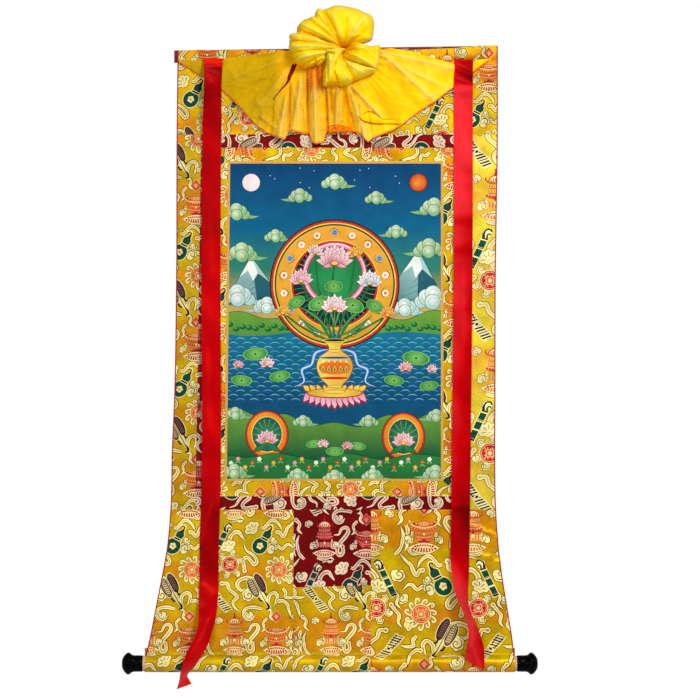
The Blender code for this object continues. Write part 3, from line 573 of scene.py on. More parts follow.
def fan():
    """Two folded leaves on a hooked handle."""
    leaves = ((-8.2, 1.0, "sand", "cream"), (7.6, 3.0, "plum", "sand"))
    chart = []
    for x, lean, _, _ in leaves:
        chart += disc("cream", x, 8 + lean, 9.4, 21.4, steps=18)
    chart += stroke("cream", [(0, 0), (1, -22), (3, -36), (-3, -42)], (12, 5.5, 6.0))
    for x, lean, thread, mark in leaves:
        chart += disc("black", x, 8 + lean, 8.0, 19.8, steps=18)
        chart += disc(thread, x, 8 + lean, 6.0, 17.8, steps=18)
        for k in range(8):
            y = -5 + 4.2 * k + lean
            chart += stroke(
                mark, [(x - 3.6, y), (x - 1, y + 2.2), (x + 2, y - 0.4), (x + 4.2, y + 1.6)],
                (0.9, 1.3, 0.9), 1,
            )
    for x, a, b in ((-7.6, -12, -20), (7.0, -8, -14)):
        chart += stroke("black", [(x, a), (x + 1, b), (x + 4.6, b - 1)], (3.0, 3.0, 2.2))
    chart += stroke("cream", [(-0.2, 26), (0.5, -12), (1, -28)], (3.2, 3.4), steps=1)
    chart += stroke("black", [(-0.2, 25), (0.5, -12), (1, -28)], (1.1, 1.7), steps=1)
    return placed(
        chart + stroke("black", [(1, -26), (2.6, -34), (0.4, -39), (-5, -38.5)], (2.2, 4.4, 4.2, 3.0)), 27
    )


def bundle():
    """Two striped clappers, tied in the middle."""
    chart = bar("cream", 0, 56, 13.0)
    for k in range(12):
        y, stripe = 25.5 - 4.6 * k, "plum" if k < 4 and k % 2 else "black"
        width = 13.6 - 4.0 * math.exp(-((k - 5.5) / 1.6) ** 2)
        chart += bar("cream", y, 5.4, width + 2.4, lean=-5.0)
        chart += bar(stripe, y + 0.4, 2.5 if k % 3 else 1.5, width, lean=-5.0)
    for x, low in ((-4.8, 3), (5.0, 8)):
        chart += stroke("black", [(x, 26), (x * 0.8, low)], (1.3, 1.6), steps=1)
    chart += disc("cream", 0, 0, 4.8, 3.6, steps=9) + disc("black", 0.6, 0, 2.8, 2.0, steps=8)
    return placed(chart, 39)


def petals_round(count, reach, thick):
    """A ring of cloud curls, each a comma that rolls in at its end."""
    comma = [
        (16.4, -1.5), (20.5, -0.5), (reach, 3.2), (reach - 1.6, 7.0), (reach - 5.2, 6.2), (reach - 4.4, 3.6)
    ]
    chart = []
    for thread, grow in (("shade", 1.5), ("cream", 0.0)):
        for k in range(count):
            widths = [thick * w + grow for w in (0.7, 0.9, 1.0, 0.9, 0.7, 0.4)]
            chart += placed(stroke(thread, comma, widths, 2), 360 / count * k, size=1.0 - 0.06 * (k % 2))
    return chart


def coin(ground, mark):
    """The medallion's round middle."""
    chart = disc("cream", 0, 0, 16.0, steps=24) + disc("red", 0, 0, 14.8, steps=24) + disc(
        "apricot", 0, 0, 13.3, steps=22
    )
    chart += disc(ground, 0, 0, 12.2, steps=20)
    for k in range(4):
        chart += placed(
            stroke(mark, [(3.0, -8.6), (5.4, -3.0), (5.4, 3.0), (3.0, 8.6)], (1.5, 1.7, 1.5)), 90 * k
        )
        chart += placed(stroke(mark, [(0, 9.0), (0, 12.0)], (1.6, 1.4), steps=1), 90 * k + 45)
    return chart + disc(mark, 0, 0, 3.9, steps=9) + disc("cream", 0, 0, 1.8, steps=7)


def sun_coin():
    return petals_round(11, 25.5, 3.6) + coin("orange", "apricot")


def red_coin():
    chart = []
    for k, a in enumerate((18, 74, 130, 200, 252, 308)):
        chart += scroll(*spot(0, 0, math.radians(a), 20.5), 7.4, a, 1 if k % 2 else -1)
    return chart + coin("red", "apricot")


def lotus_foot(y, half, high, petals, thread):
    """The open lotus that carries a vase: an eye of petals."""
    sides = [k / 6 - 1 for k in range(13)]

    def eye(name, grow):
        low = [(t * (half + grow), y - (high + grow) * (1 - t * t)) for t in sides]
        return [(
            name, low + [(t * (half + grow), y + (0.8 * high + grow) * (1 - t * t)) for t in sides[-2:0:-1]]
        )]

    chart = eye("shade", 2.6) + eye("cream", 1.6)
    for name, count, out, from_y, reach in (
        (thread, petals, 0.92, 0.05, -0.92), ("red", petals - 1, 0.74, 0.34, 0.66)
    ):
        for k in range(count):
            t = ((k + 0.5) / count * 2 - 1) * out
            wide, arch = 1.5 * half / count, high * (1 - t * t)
            line = [(t * half * 0.8, y + from_y * arch), (t * half, y + reach * arch)]
            chart += stroke(name, line, (wide * 0.5, wide * 0.9), 1)
    return chart


def tier(thread, y, half, drop, thick):
    """A crescent whose ends turn up."""
    line = [(half * t, y + drop * down) for t, down in ((-1, 1), (-0.6, 0.25), (0, 0), (0.6, 0.25), (1, 1))]
    return stroke(thread, line, [thick * w for w in (0.5, 1, 1.1, 1, 0.5)], steps=2)


def dashes(thread, y, half, count, thick, high, bow=0.0):
    """A row of upright marks."""
    chart = []
    for k in range(count):
        t = 2 * k / (count - 1) - 1
        x, low = half * t, y + bow * t * t
        chart += stroke(thread, [(x, low - high / 2), (x, low + high / 2)], (thick, thick), 1)
    return chart


def vase():
    """A covered vase in tiers, on a lotus, with a flaming jewel on top."""
    chart = []
    for side in (-1, 1):
        chart += scroll(side * 24, -12, 7.4, 40, side) + scroll(side * 19, -3, 4.2, 90, side)
    chart += disc("gold", 0, -1, 18, 18, steps=16) + lotus_foot(-25, 24, 8.2, 9, "red")
    for y, half, drop, thread in (
        (-15, 10, 1.5, "red"), (-10.5, 13, 2.4, "orange"), (-5.5, 18, 4.0, "orange"),
        (1.5, 20, 4.6, "orange"), (8, 15, 3.0, "apricot"),
    ):
        chart += tier("apricot", y + 2.2, half, drop, 1.5) + tier(thread, y, half, drop, 3.6)
    chart += dashes("red", -4.2, 15, 8, 2.3, 2.6, 3.4) + dashes("red", 3.0, 17, 9, 2.3, 2.6, 4.2)
    chart += disc("red", 0, -13, 4.0, 2.0, steps=9) + disc("cream", 0, -3, 1.5, 2.4, steps=7)
    for side in (-1, 1):
        chart += stroke("cream", [(side * 6, 12), (side * 15, 12), (side * 24, 19)], (6.0, 6.6, 3.0), 2)
        chart += stroke("orange", [(side * 6, 12), (side * 14, 12), (side * 22, 17.6)], (4.6, 4.8, 2.0), 2)
        chart += disc("plum", side * 15.8, 14.6, 1.9, 1.6, steps=7)
        chart += disc("shade", side * 20.5, 19.2, 1.2, steps=6)
    chart += disc("red", 0, 13.4, 11, 4.6, steps=16) + disc("apricot", 0, 13.8, 9.4, 3.4, steps=16)
    chart += dashes("orange", 13.6, 6, 4, 1.9, 3.2)
    for share, thread in ((1.16, "apricot"), (1.0, "red"), (0.74, "orange"), (0.5, "apricot")):
        chart.append((
            thread, [(x * share, 38.5 + y * share) for x, y in ((0, -10), (9.4, 0), (0, 10.6), (-9.4, 0))]
        ))
    for x, y in ((0, 41.5), (-2.4, 38), (2.4, 38), (-3.2, 34.6), (3.2, 34.6)):
        chart += disc("plum" if y < 36 else "red", x, y, 1.2, steps=6)
    return chart


def pagoda():
    """A tower of railed floors under a dome, on a lotus."""
    chart = []
    for side in (-1, 1):
        chart += scroll(side * 19.5, -17.5, 8.4, 30, side) + scroll(side * 13, -9, 4.0, 80, side)
    chart += disc("gold", 0, -1, 14, 20, steps=16) + lotus_foot(-31.5, 21, 6.2, 8, "orange")
    chart += dashes("apricot", -15.5, 11.5, 6, 2.6, 9.4) + dashes("orange", -15.5, 9.2, 5, 1.7, 8.4)
    chart += tier("apricot", -3.6, 15.5, 3.8, 5.6)
    chart += tier("red", -4.4, 15.0, 3.6, 4.6) + dashes("apricot", -3.4, 11, 6, 1.3, 3.4, 1.8)
    chart += disc("red", 0, -5.6, 2.8, 4.6, steps=9) + disc("cream", 0, -12.6, 1.7, 3.0, steps=7)
    for y, half in ((4.6, 12.5), (12.0, 10.5)):
        chart += tier("orange", y - 3.4, half, 1.2, 2.0) + dashes("apricot", y, half * 0.9, 6, 2.7, 4.4, 0.6)
        chart += dashes("red", y, half * 0.9, 6, 0.9, 3.2, 0.6)
    chart += tier("orange", 17.0, 13.4, 2.6, 3.6)
    dome = [(-12.5, 18.6), (-10.5, 24.5), (-5, 28.6), (0, 29.6), (5, 28.6), (10.5, 24.5), (12.5, 18.6)]
    chart += [
        ("orange", dome[::-1]), ("cream", [(x * 0.82, 18.6 + (y - 18.6) * 0.82) for x, y in dome[::-1]])
    ]
    chart += dashes("red", 22.0, 7.4, 5, 1.5, 5.0, -1.8) + dashes("orange", 18.4, 10, 6, 1.6, 2.0)
    for side in (-1, 1):
        chart += stroke("red", [(side * 12, 19), (side * 15.5, 22), (side * 14, 27)], (1.8, 2.0, 0.9))
    return chart + stroke("red", [(0, 28), (0, 36)], (6.4, 1.2), steps=1) + disc("red", 0, 37, 1.9, steps=7)


REPEAT = (164.6, 259.0)
MOTIFS = [  # motif, x, y
    (sun_coin, 35.8, -45.0), (red_coin, -56.7, -35.0), (vase, 31.0, -172.0), (pagoda, -48.0, -165.0),
    (fan, -1.6, -83.0), (bundle, -77.0, -101.0), (flute, -72.0, 12.5), (gourd, 0, 0),
]
CLOUDS = [  # width, points from the thick end to the thin tail, radius of a round start
    (5.6, [(2, 35), (8, 34), (15, 43), (23, 49), (31, 46), (38, 38), (41, 30)], 0),
    (5.8, [(33, 26), (38, 25), (43, 17), (48, 24), (52, 34), (61, 42), (69, 52)], 3.6),
    (6.8, [(-52, 4), (-57, 14), (-49, 25), (-40, 26), (-35, 19), (-29, 11)], 0),
    (6.2, [(-29, -47), (-30, -38), (-32, -27), (-25, -21), (-18, -27), (-11, -35), (-6, -30), (-9, -21),
           (-17, -14), (-26, -8), (-30, 3)], 3.8),
    (5.2, [(26, 0), (34, -1), (42, -6), (50, 2), (57, 2), (65, -6)], 0),
    (7.0, [(-12, -62), (-25, -60), (-39, -65), (-43, -75), (-35, -84), (-26, -80)], 0),
    (6.0, [(-72, -71), (-62, -71), (-58, -82), (-48, -90), (-43, -97), (-51, -106), (-48, -116),
           (-40, -123)], 4.2),
    (6.0, [(16, -107), (17, -95), (26, -88), (33, -94), (31, -104), (27, -112)], 0),
    (5.4, [(36, -104), (45, -104), (52, -111), (55, -122), (60, -138)], 3.4),
    (5.4, [(43, -80), (49, -88), (48, -96), (58, -98), (68, -96)], 0),
    (5.8, [(4, -119), (-8, -116), (-20, -116), (-29, -121), (-30, -131), (-24, -139), (-15, -138),
           (-10, -131)], 0),
    (6.6, [(-14, -184), (-13, -195), (-20, -200), (-24, -191), (-19, -178), (-9, -166), (-3, -156),
           (-7, -148), (-16, -151), (-21, -161), (-30, -162)], 3.6),
    (5.0, [(-86, -208), (-95, -199), (-99, -186), (-100, -174), (-96, -163)], 0),
    (4.6, [(57, -199), (50, -207), (41, -206), (33, -208)], 0),
    (5.0, [(-62, -205), (-50, -208), (-38, -204), (-30, -209)], 0),
    (5.0, [(84, -30), (78, -38), (71, -47), (73, -58), (67, -66)], 3.6),
    (5.4, [(60, -160), (57, -171), (63, -181), (58, -192), (62, -202)], 0),
    (5.2, [(63, -134), (70, -142), (67, -152), (74, -160)], 3.6),
    (4.4, [(-52, 46), (-44, 49), (-37, 46), (-30, 51)], 0),
    (4.2, [(-86, -8), (-92, -18), (-89, -28), (-96, -36)], 0),
    (4.4, [(12, -138), (6, -146), (9, -156), (3, -162)], 2.6),
    (4.2, [(14, -118), (22, -124), (19, -134), (26, -142)], 0),
]
HEADS = [  # kind, x, y, radius, turn, hand
    (shell, -13, 31, 13.0, 48, 1), (scroll, 23, -4, 9.6, 60, -1), (scroll, 27, 9, 6.2, 120, 1),
    (shell, -58, -3, 12.5, 20, -1), (scroll, -22, -93, 11.0, 90, 1), (scroll, -22, -131, 7.6, 200, -1),
    (scroll, 66, -20, 8.4, 150, 1), (scroll, 72, 18, 10.5, 200, -1), (shell, 58, -62, 8.8, 100, 1),
    (scroll, -78, -142, 6.6, 20, 1),
]


PLUMP = 1.16  # how much the clouds are fuller than charted


def repeat_charts():
    """One repeat of the brocade: its clouds, then the motifs that lie over them."""
    clouds, motifs = [], []
    for width, points, head in CLOUDS:
        clouds += cloud(width * PLUMP, points, head * PLUMP)
    for kind, x, y, radius, degrees, hand in HEADS:
        clouds += kind(x, y, radius * PLUMP, degrees, hand)
    for motif, x, y in MOTIFS:
        motifs += placed(motif(), 0, (x, y))
    return clouds, motifs


REPEAT_CHARTS = repeat_charts()


def between(chart, within):
    """The parts of the shapes that lie between two uprights."""
    for upright, inward in zip(within, (1, -1)):
        kept = []
        for thread, loop in chart:
            line = []
            for (ax, ay), (bx, by) in zip(loop, [*loop[1:], loop[0]]):
                from_a, from_b = (ax - upright) * inward, (bx - upright) * inward
                if from_a > 0:
                    line.append((ax, ay))
                if (from_a > 0) != (from_b > 0):
                    line.append((upright, ay + (by - ay) * from_a / (from_a - from_b)))
            if len(line) > 2 and max(abs(x - upright) for x, _ in line) > 0.0001:
                kept.append((thread, line))
        chart = kept
    return chart


def brocade_chart(outline, origin, degrees=0.0, size=1.0, mirrored=False, within=None):
    """The repeat laid over a cut of cloth. origin is where one gourd's middle comes, in metres."""
    scale = size * MM
    turn = math.radians(degrees)
    c, s = math.cos(turn) / scale, math.sin(turn) / scale
    flip = -1 if mirrored else 1
    across, down = [], []
    for p in outline:
        x, y = p.x - origin[0], p.y - origin[1]
        across.append(flip * (x * c + y * s))
        down.append(-x * s + y * c)
    wide, high = REPEAT
    chart = []
    for layer in REPEAT_CHARTS:
        for column in range(math.floor(min(across) / wide) - 1, math.ceil(max(across) / wide) + 2):
            for row in range(math.floor(min(down) / high) - 1, math.ceil(max(down) / high) + 2):
                tile = placed(layer, 0, (column * wide, row * high))
                chart += placed(tile, degrees, origin, scale, mirrored)
    return between(chart, within) if within else chart


# --- colours of the cloths ---

GLOSSY, MATT = 1.0, 0.35  # how much a thread shines, kept beside its colour

GOLD_THREADS = dict(
    cream=colour("FFEEA0", MATT),
    vein=colour("C28C18", MATT),
    shade=colour("5E3602", MATT),
    gold=colour("D2921A", GLOSSY),
    apricot=colour("F3B878", MATT),
    orange=colour("E0641E", MATT),
    red=colour("C81C28", MATT),
    green=colour("0B4A34", MATT),
    black=colour("1E1014", MATT),
    plum=colour("4E2A30", MATT),
    sand=colour("8C6C50", MATT),
)
LEMON_THREADS = dict(
    GOLD_THREADS,
    cream=colour("F8EAA6", MATT),
    vein=colour("DDB858", MATT),
    shade=colour("A07808", MATT),
    gold=colour("E8C020", GLOSSY),
)
MAROON_THREADS = dict(
    GOLD_THREADS,
    cream=colour("F2D2B0", MATT),
    vein=colour("8E2426", MATT),
    shade=colour("300004", MATT),
    gold=colour("6A0812", GLOSSY),
    apricot=colour("D98070", MATT),
    orange=colour("C83C34", MATT),
    red=colour("A80E1C", MATT),
    green=colour("0C3C34", MATT),
    black=colour("14080C", MATT),
)


def darker(threads, share):
    """The same threads made this much darker: a shaded copy of a cloth, for painted shade."""
    return {name: (*(share * c for c in tint[:3]), tint[3]) for name, tint in threads.items()}


def banded(plain, warm):
    """The ground of a brocade, with a warmer weft behind the medallions and the vases."""

    def at(y):
        high = REPEAT[1]
        y = np.mod(y + 22, high) - 22 - high * (np.mod(y + 22, high) > high - 0.001)
        y = np.where(y > 60, y - high, y)
        share = fade(-26, -38, y) * fade(-68, -56, y) + fade(-124, -140, y) * fade(-214, -200, y)
        share = np.clip(share, 0, 1)[..., None]
        return np.array(plain) * (1 - share) + np.array(warm) * share

    return at


GOLD_GROUND = banded(colour("D6AE04", GLOSSY), colour("DC9404", GLOSSY))
LEMON_GROUND = banded(colour("EAD23C", GLOSSY), colour("ECC034", GLOSSY))
# Painted shade: a shaded copy of the gold threads for the left side panel and the head panel, and a darker
# ground for the left side panel
SHADED_GOLD_THREADS = darker(GOLD_THREADS, 0.8)
SHADED_GOLD_GROUND = banded(colour("BE9A04", GLOSSY), colour("C28204", GLOSSY))
MAROON_GROUND = banded(colour("7C0406", GLOSSY), colour("760304", GLOSSY))


def tinted(thread, threads, spots):
    """Colour of a shape at these spots: one thread, or a wash from one colour to another."""
    if isinstance(thread, str):
        return np.broadcast_to(np.array(threads[thread]), (*spots.shape[:-1], 4))
    kind, near, far, start, end = thread
    near, far, start = np.array(threads[near]), np.array(threads[far]), np.array(start)
    if kind == "round":
        t = np.hypot(*(spots - start).reshape(-1, 2).T).reshape(spots.shape[:-1]) / end
    else:
        along = np.array(end) - start
        t = (spots - start) @ along / (along @ along)
    return near + (far - near) * np.clip(t, 0, 1)[..., None]


def one_colour(tint):
    """The ground of a cloth that is this colour all over."""
    return lambda spots: np.broadcast_to(np.array(tint), (*spots.shape[:-1], 4))


BACK_PITCH = 0.007  # spacing of the points behind, where no shape needs them closer


def sewn(
    name, outline, chart, threads, ground, place=hang, pitch=0.009, rows=(), thick=CLOTH, rolled=0.0005,
    reverse=None,
):
    """A flat-cut cloth in its place: its chart's colours in front, paler behind, edges turned in."""
    flat, faces, tops = partition(outline, chart, pitch, rows)
    back_flat, back_faces, below = even_back(flat, faces, outline, min(pitch, BACK_PITCH), rows)
    sheets = []
    for points, triangles in ((flat, faces), (back_flat, back_faces)):
        here, out = facing(place, points)
        here = here - out * (rolled * np.exp(-from_outline(points, outline) / 0.0011))[:, None]
        sheets.append((points, triangles, here, out))
    spots = flat[faces]
    front = np.zeros((len(faces), 3, 4))
    bare = tops < 0
    front[bare] = ground(spots[bare])
    order = np.argsort(tops, kind="stable")
    starts = np.searchsorted(tops[order], np.unique(tops[tops >= 0]))
    for group in np.split(order, starts)[1:] if len(starts) else []:
        front[group] = tinted(chart[tops[group[0]]][0], threads, spots[group])
    back = np.array((one_colour(reverse) if reverse else ground)(back_flat[back_faces]))
    grey = back[..., :3].mean(axis=-1, keepdims=True)
    back[..., :3] = 0.7 * (0.75 * back[..., :3] + 0.25 * grey)
    back[..., 3] = MATT
    return adopt(name, sheet_mesh(name, *sheets, below, thick, (front, back)))


# --- materials ---


DIM = 0.78  # how much less the other cloths reflect than the silk, whose yellow is the brightest thing here


class Finish:
    """A material's node tree with short names for its parts."""

    def __init__(self, name):
        self.material = bpy.data.materials.new(name)
        self.material.use_nodes = True
        self.tree = self.material.node_tree
        self.shader = self.tree.nodes["Principled BSDF"]

    def node(self, kind, inputs=(), **settings):
        made = self.tree.nodes.new(kind)
        for key, value in settings.items():
            setattr(made, key, value)
        for key, value in dict(inputs).items():
            self.feed(made, key, value)
        return made

    def feed(self, node, key, value):
        socket = node.inputs[key]
        if isinstance(value, bpy.types.NodeSocket):
            self.tree.links.new(value, socket)
        else:
            socket.default_value = value

    def math(self, operation, a, b):
        return self.node("ShaderNodeMath", {0: a, 1: b}, operation=operation).outputs[0]

    def noise(self, vector, scale, detail, rough=0.5):
        inputs = {"Vector": vector, "Scale": scale, "Detail": detail, "Roughness": rough}
        return self.node("ShaderNodeTexNoise", inputs).outputs["Fac"]

    def wave(self, vector, scale, direction, distortion):
        inputs = {"Vector": vector, "Scale": scale, "Distortion": distortion}
        return self.node("ShaderNodeTexWave", inputs, bands_direction=direction).outputs["Fac"]

    def spread(self, value, low, high, start=0.0, end=1.0):
        """The value's range start to end spread over low to high."""
        inputs = {"Value": value, "From Min": start, "From Max": end, "To Min": low, "To Max": high}
        return self.node("ShaderNodeMapRange", inputs).outputs[0]

    def mixed(self, factor, a, b, blend="MIX"):
        made = self.node("ShaderNodeMix", data_type="RGBA", blend_type=blend)
        for key, value in ((0, factor), (6, a), (7, b)):
            self.feed(made, key, value)
        return made.outputs[2]

    def brighter(self, tint, value):
        """The colour times this number."""
        return self.node("ShaderNodeVectorMath", {0: tint, "Scale": value}, operation="SCALE").outputs[0]

    def bump(self, height, strength, distance):
        inputs = {"Height": height, "Strength": strength, "Distance": distance}
        self.feed(self.shader, "Normal", self.node("ShaderNodeBump", inputs).outputs[0])

    def place(self):
        return self.node("ShaderNodeTexCoord").outputs["Object"]

    def charted(self):
        """The chart's colours, and in Alpha how much each thread shines."""
        return self.node("ShaderNodeAttribute", attribute_name="thread").outputs

    def on_cloth(self):
        return self.node("ShaderNodeUVMap", uv_map="cloth").outputs[0]

    def set(self, **sockets):
        for key, value in sockets.items():
            self.feed(self.shader, key.replace("_", " "), value)


def woven_finish(name, gloss, shine, thread_pitch, relief, gilt=0.0, uneven=0.1, floats=()):
    """Brocade or printed canvas: the chart's colours, a weave, and the unevenness of dyeing.

    gilt is how much the glossy threads are metal. floats are loose threads that cross a reverse:
    scale, share and colour of each."""
    f = Finish(name)
    charted = f.charted()
    cloth, place = f.on_cloth(), f.place()
    shown = f.spread(charted["Alpha"], 0, 1, MATT, GLOSSY)
    mottle = f.spread(f.noise(place, 34, 3), -uneven, uneven, 0.32, 0.68)
    fleck = f.spread(f.noise(cloth, 1100, 2), -0.16, 0.16, 0.3, 0.7)
    tone = f.math("ADD", mottle, fleck)
    if gilt:
        tone = f.math("ADD", tone, f.spread(f.noise(cloth, 300, 3, 0.7), -0.15, 0.15, 0.3, 0.7))
    warp = f.wave(cloth, 0.159 / thread_pitch, "X", 0.6)
    weft = f.wave(cloth, 0.159 / thread_pitch, "Y", 0.6)
    raised = f.mixed(charted["Alpha"], weft, warp)
    tone = f.math("ADD", tone, f.spread(raised, 0.9, 1.06))
    lemon, orange = (1.03, 1.12, 0.8, 1), (1.0, 0.82, 0.9, 1)
    lemon_or_orange = f.mixed(f.spread(f.noise(place, 19, 2), 0, 1, 0.36, 0.64), lemon, orange)
    dyed = f.mixed(f.math("MULTIPLY", shown, gilt * 2.0), (1, 1, 1, 1), lemon_or_orange)
    dyed = f.mixed(1.0, charted["Color"], dyed, "MULTIPLY")
    stretched = f.node("ShaderNodeMapping", {"Vector": cloth, "Scale": (0.4, 2.2, 1.0)}).outputs[0]
    for scale, share, code in floats:
        patch = f.spread(f.noise(stretched, scale, 2), 0, 0.7, 1 - share, 1.08 - share)
        dyed = f.mixed(patch, dyed, colour(code))
    f.set(Base_Color=f.brighter(dyed, f.math("MULTIPLY", tone, DIM)))
    f.set(Roughness=f.spread(shown, gloss[1], gloss[0]))
    if gilt:
        f.set(Metallic=f.math("MULTIPLY", shown, gilt))
    f.bump(raised, 0.5, relief)
    f.set(Specular_IOR_Level=shine)
    return f.material


BROCADE = woven_finish("brocade", (0.4, 0.62), 0.08, 0.00065, 0.00012, 0.36, 0.2)
REVERSE_FLOATS = ((46, 0.44, "C9B088"), (31, 0.38, "B0603C"), (38, 0.35, "3E5A48"))
BROCADE_BACK = woven_finish("brocade reverse", (0.6, 0.75), 0.08, 0.0011, 0.00025, floats=REVERSE_FLOATS)
CANVAS = woven_finish("painted canvas", (0.5, 0.55), 0.05, 0.0009, 0.0001)
CANVAS_BACK = woven_finish("canvas reverse", (0.7, 0.75), 0.08, 0.0009, 0.0002)


def ribbed_finish():
    """Plain tape or cord-woven silk, ribbed along its length."""
    f = Finish("ribbed silk")
    charted = f.charted()
    cloth = f.on_cloth()
    ribs = f.wave(cloth, 190, "DIAGONAL", 0.4)
    slubs = f.noise(cloth, 420, 3)
    tone = f.math("ADD", f.spread(ribs, 0.8, 1.1), f.spread(slubs, -0.16, 0.16, 0.3, 0.7))
    f.set(Base_Color=f.brighter(charted["Color"], f.math("MULTIPLY", tone, DIM)))
    f.set(Roughness=0.42, Specular_IOR_Level=0.15)
    f.bump(ribs, 0.6, 0.0002)
    return f.material


RIBBED = ribbed_finish()


def clad(obj, *materials):
    """Gives the piece these materials, the first in front and the second behind."""
    if len(materials) == 1:
        obj.data.polygons.foreach_set("material_index", np.zeros(len(obj.data.polygons), np.int32))
    for material in materials:
        obj.data.materials.append(material)
    return obj


def given(obj, node):
    """Hides the solid that the piece stands for. All ride on the one body."""
    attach(obj, "root")
    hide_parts(node)
    return obj


# --- the mount's pieces ---


def cut(left, right, low, high, steps=14):
    """The outline of a piece between two sides, which are functions of its height.

    low and high are heights, or functions of x. It runs anticlockwise from the lower left."""
    low_at = low if callable(low) else lambda x: low
    high_at = high if callable(high) else lambda x: high
    across = 24 if callable(high) or callable(low) else 1

    def side(edge):
        x = edge(0.5 * (low_at(0.0) + high_at(0.0)))
        return [(edge(z), z) for z in np.linspace(low_at(x), high_at(x), steps + 1)]

    up, down = side(right), side(left)[::-1]
    top = [(x, high_at(x)) for x in np.linspace(up[-1][0], down[0][0], across + 1)[1:-1]]
    foot = [(x, low_at(x)) for x in np.linspace(down[-1][0], up[0][0], across + 1)[1:-1]]
    return inset([Vector(p) for p in up + top + down + foot], MEETING)


def on_hem(edge):
    """A side's x, also where the cloth has gone round the roll."""

    def at(down):
        run = np.clip(BEND_Z - np.asarray(down), 0, HEM_LENGTH)
        lowest = np.minimum.accumulate(HEM[:, 1])
        return edge(np.where(np.asarray(down) >= BEND_Z, down, np.interp(run, HEM_RUN, lowest)))

    return at


HEM_ROWS = [BEND_Z - s for s in (0.0004, 0.0014, 0.0026, 0.0038, 0.0048)]
HEM_ROWS += [BEND_Z - 0.0048 - 0.0027 * i for i in range(1, 37)]
HEM_ROWS += [BEND_Z - s * HEM_LENGTH for s in (0.958, 0.968, 0.978)]


def hang_piece(name, outline, fabric, size, rows=()):
    """A brocade piece of the mount. size, the size it was cut to, is not used.

    fabric is its threads, its ground and how the repeat is laid on it, once for each joined part."""
    threads, ground, *lays = fabric
    chart = [shape for lay in lays for shape in brocade_chart(outline, **lay)]

    def ground_of(lay, spots):
        scale, turn = lay.get("size", 1.0) * MM, math.radians(lay.get("degrees", 0.0))
        x, y = (spots - np.array(lay["origin"])).reshape(-1, 2).T / scale
        return ground(y * math.cos(turn) - x * math.sin(turn)).reshape(*spots.shape[:-1], 4)

    def ground_at(spots):
        tint = ground_of(lays[0], spots)
        for lay in lays[1:]:
            tint = np.where(spots[..., :1] > lay["within"][0], ground_of(lay, spots), tint)
        return tint

    obj = sewn(name, outline, chart, threads, ground_at, rows=rows)
    given(clad(obj, BROCADE, BROCADE_BACK), name.replace("_cloth", ""))


def strip_between(corners):
    """The outline of a straight strip, with points along its sides."""
    outline = []
    for a, b in zip(corners, [*corners[1:], corners[0]]):
        a, b = Vector(a), Vector(b)
        count = max(1, round((b - a).length / 0.01))
        outline += [a.lerp(b, k / count) for k in range(count)]
    return inset(outline, MEETING)


def ring(outer, inner, mitred=True):
    """Outlines of four strips between two rectangles, by where they lie."""
    (out_top, out_foot), (in_top, in_foot) = LEVELS[outer], LEVELS[inner]

    def corners(rectangle, foot, top):
        left, right = seam(f"{rectangle}_left"), seam(f"{rectangle}_right")
        return (left(foot), foot), (right(foot), foot), (right(top), top), (left(top), top)

    o, i = corners(outer, out_foot, out_top), corners(inner, in_foot, in_top)
    side, level = (o, i) if mitred else (corners(outer, in_foot, in_top),) * 2
    return dict(
        top=strip_between([level[3], level[2], o[2], o[3]]),
        foot=strip_between([o[0], o[1], level[1], level[0]]),
        left=strip_between([side[0], i[0], i[3], side[3]]),
        right=strip_between([i[1], side[1], side[2], i[2]]),
    )


def make_frames():
    """The maroon brocade frame and the door below it."""
    lays = dict(
        top=(dict(origin=(-0.0925, -0.1925), degrees=-90, size=0.97), (0.506, 0.025)),
        foot=(dict(origin=(-0.2014, -0.8393), degrees=90), (0.517, 0.025)),
        left=(dict(origin=(-0.215, -0.385)), (0.024, 0.659)),
        right=(dict(origin=(0.23, -0.3)), (0.021, 0.659)),
    )
    for where, outline in ring("frame", "border", mitred=False).items():
        lay, size = lays[where]
        # The left strip's threads are a shaded copy: painted shade.
        threads = darker(MAROON_THREADS, 0.7) if where == "left" else MAROON_THREADS
        fabric = (threads, MAROON_GROUND, lay)
        hang_piece(f"maroon_frame_{where}_cloth", outline, fabric, size)
    left, right = seam("foot_left"), seam("foot_right")
    corners = ((left, DOOR_FOOT_LEFT), (right, DOOR_FOOT_RIGHT), (right, FRAME_FOOT), (left, FRAME_FOOT))
    door = strip_between([(side(z), z) for side, z in corners])
    fabric = (MAROON_THREADS, MAROON_GROUND, dict(origin=(0.023, -1.018)))
    hang_piece("door_panel_cloth", door, fabric, (0.147, 0.146))


def make_inner_borders():
    lays = dict(
        top=(dict(origin=(-0.0046, -0.1548), degrees=-90), (0.463, 0.026)),
        foot=(dict(origin=(-0.28, -0.8703), degrees=90), (0.473, 0.029)),
        left=(dict(origin=(-0.235, -0.2339)), (0.03, 0.659)),
        right=(dict(origin=(0.1933, -0.3227)), (0.028, 0.659)),
    )
    for where, outline in ring("border", "fillet").items():
        lay, size = lays[where]
        hang_piece(f"inner_border_{where}_cloth", outline, (GOLD_THREADS, GOLD_GROUND, lay), size)


def plain_piece(name, outline, tint):
    """A narrow piece of one cloth, sewn to a larger one."""
    obj = sewn(name, outline, [], {}, one_colour(tint), rolled=0.0002)
    return given(clad(obj, RIBBED, RIBBED), name.replace("_cloth", ""))


def make_fillets():
    tint = colour("DDA548", GLOSSY)
    return [
        plain_piece(f"fillet_{where}_cloth", outline, tint)
        for where, outline in ring("fillet", "picture").items()
    ]


def make_binding(side):
    left, right = dict(left=(left_edge, inside_left), right=(inside_right, right_edge))[side]
    outline = cut(left, right, BEND_Z + SEAM_GAP, BINDING_TOP, 120)
    return plain_piece(f"binding_{side}_cloth", outline, colour("A41228", GLOSSY))


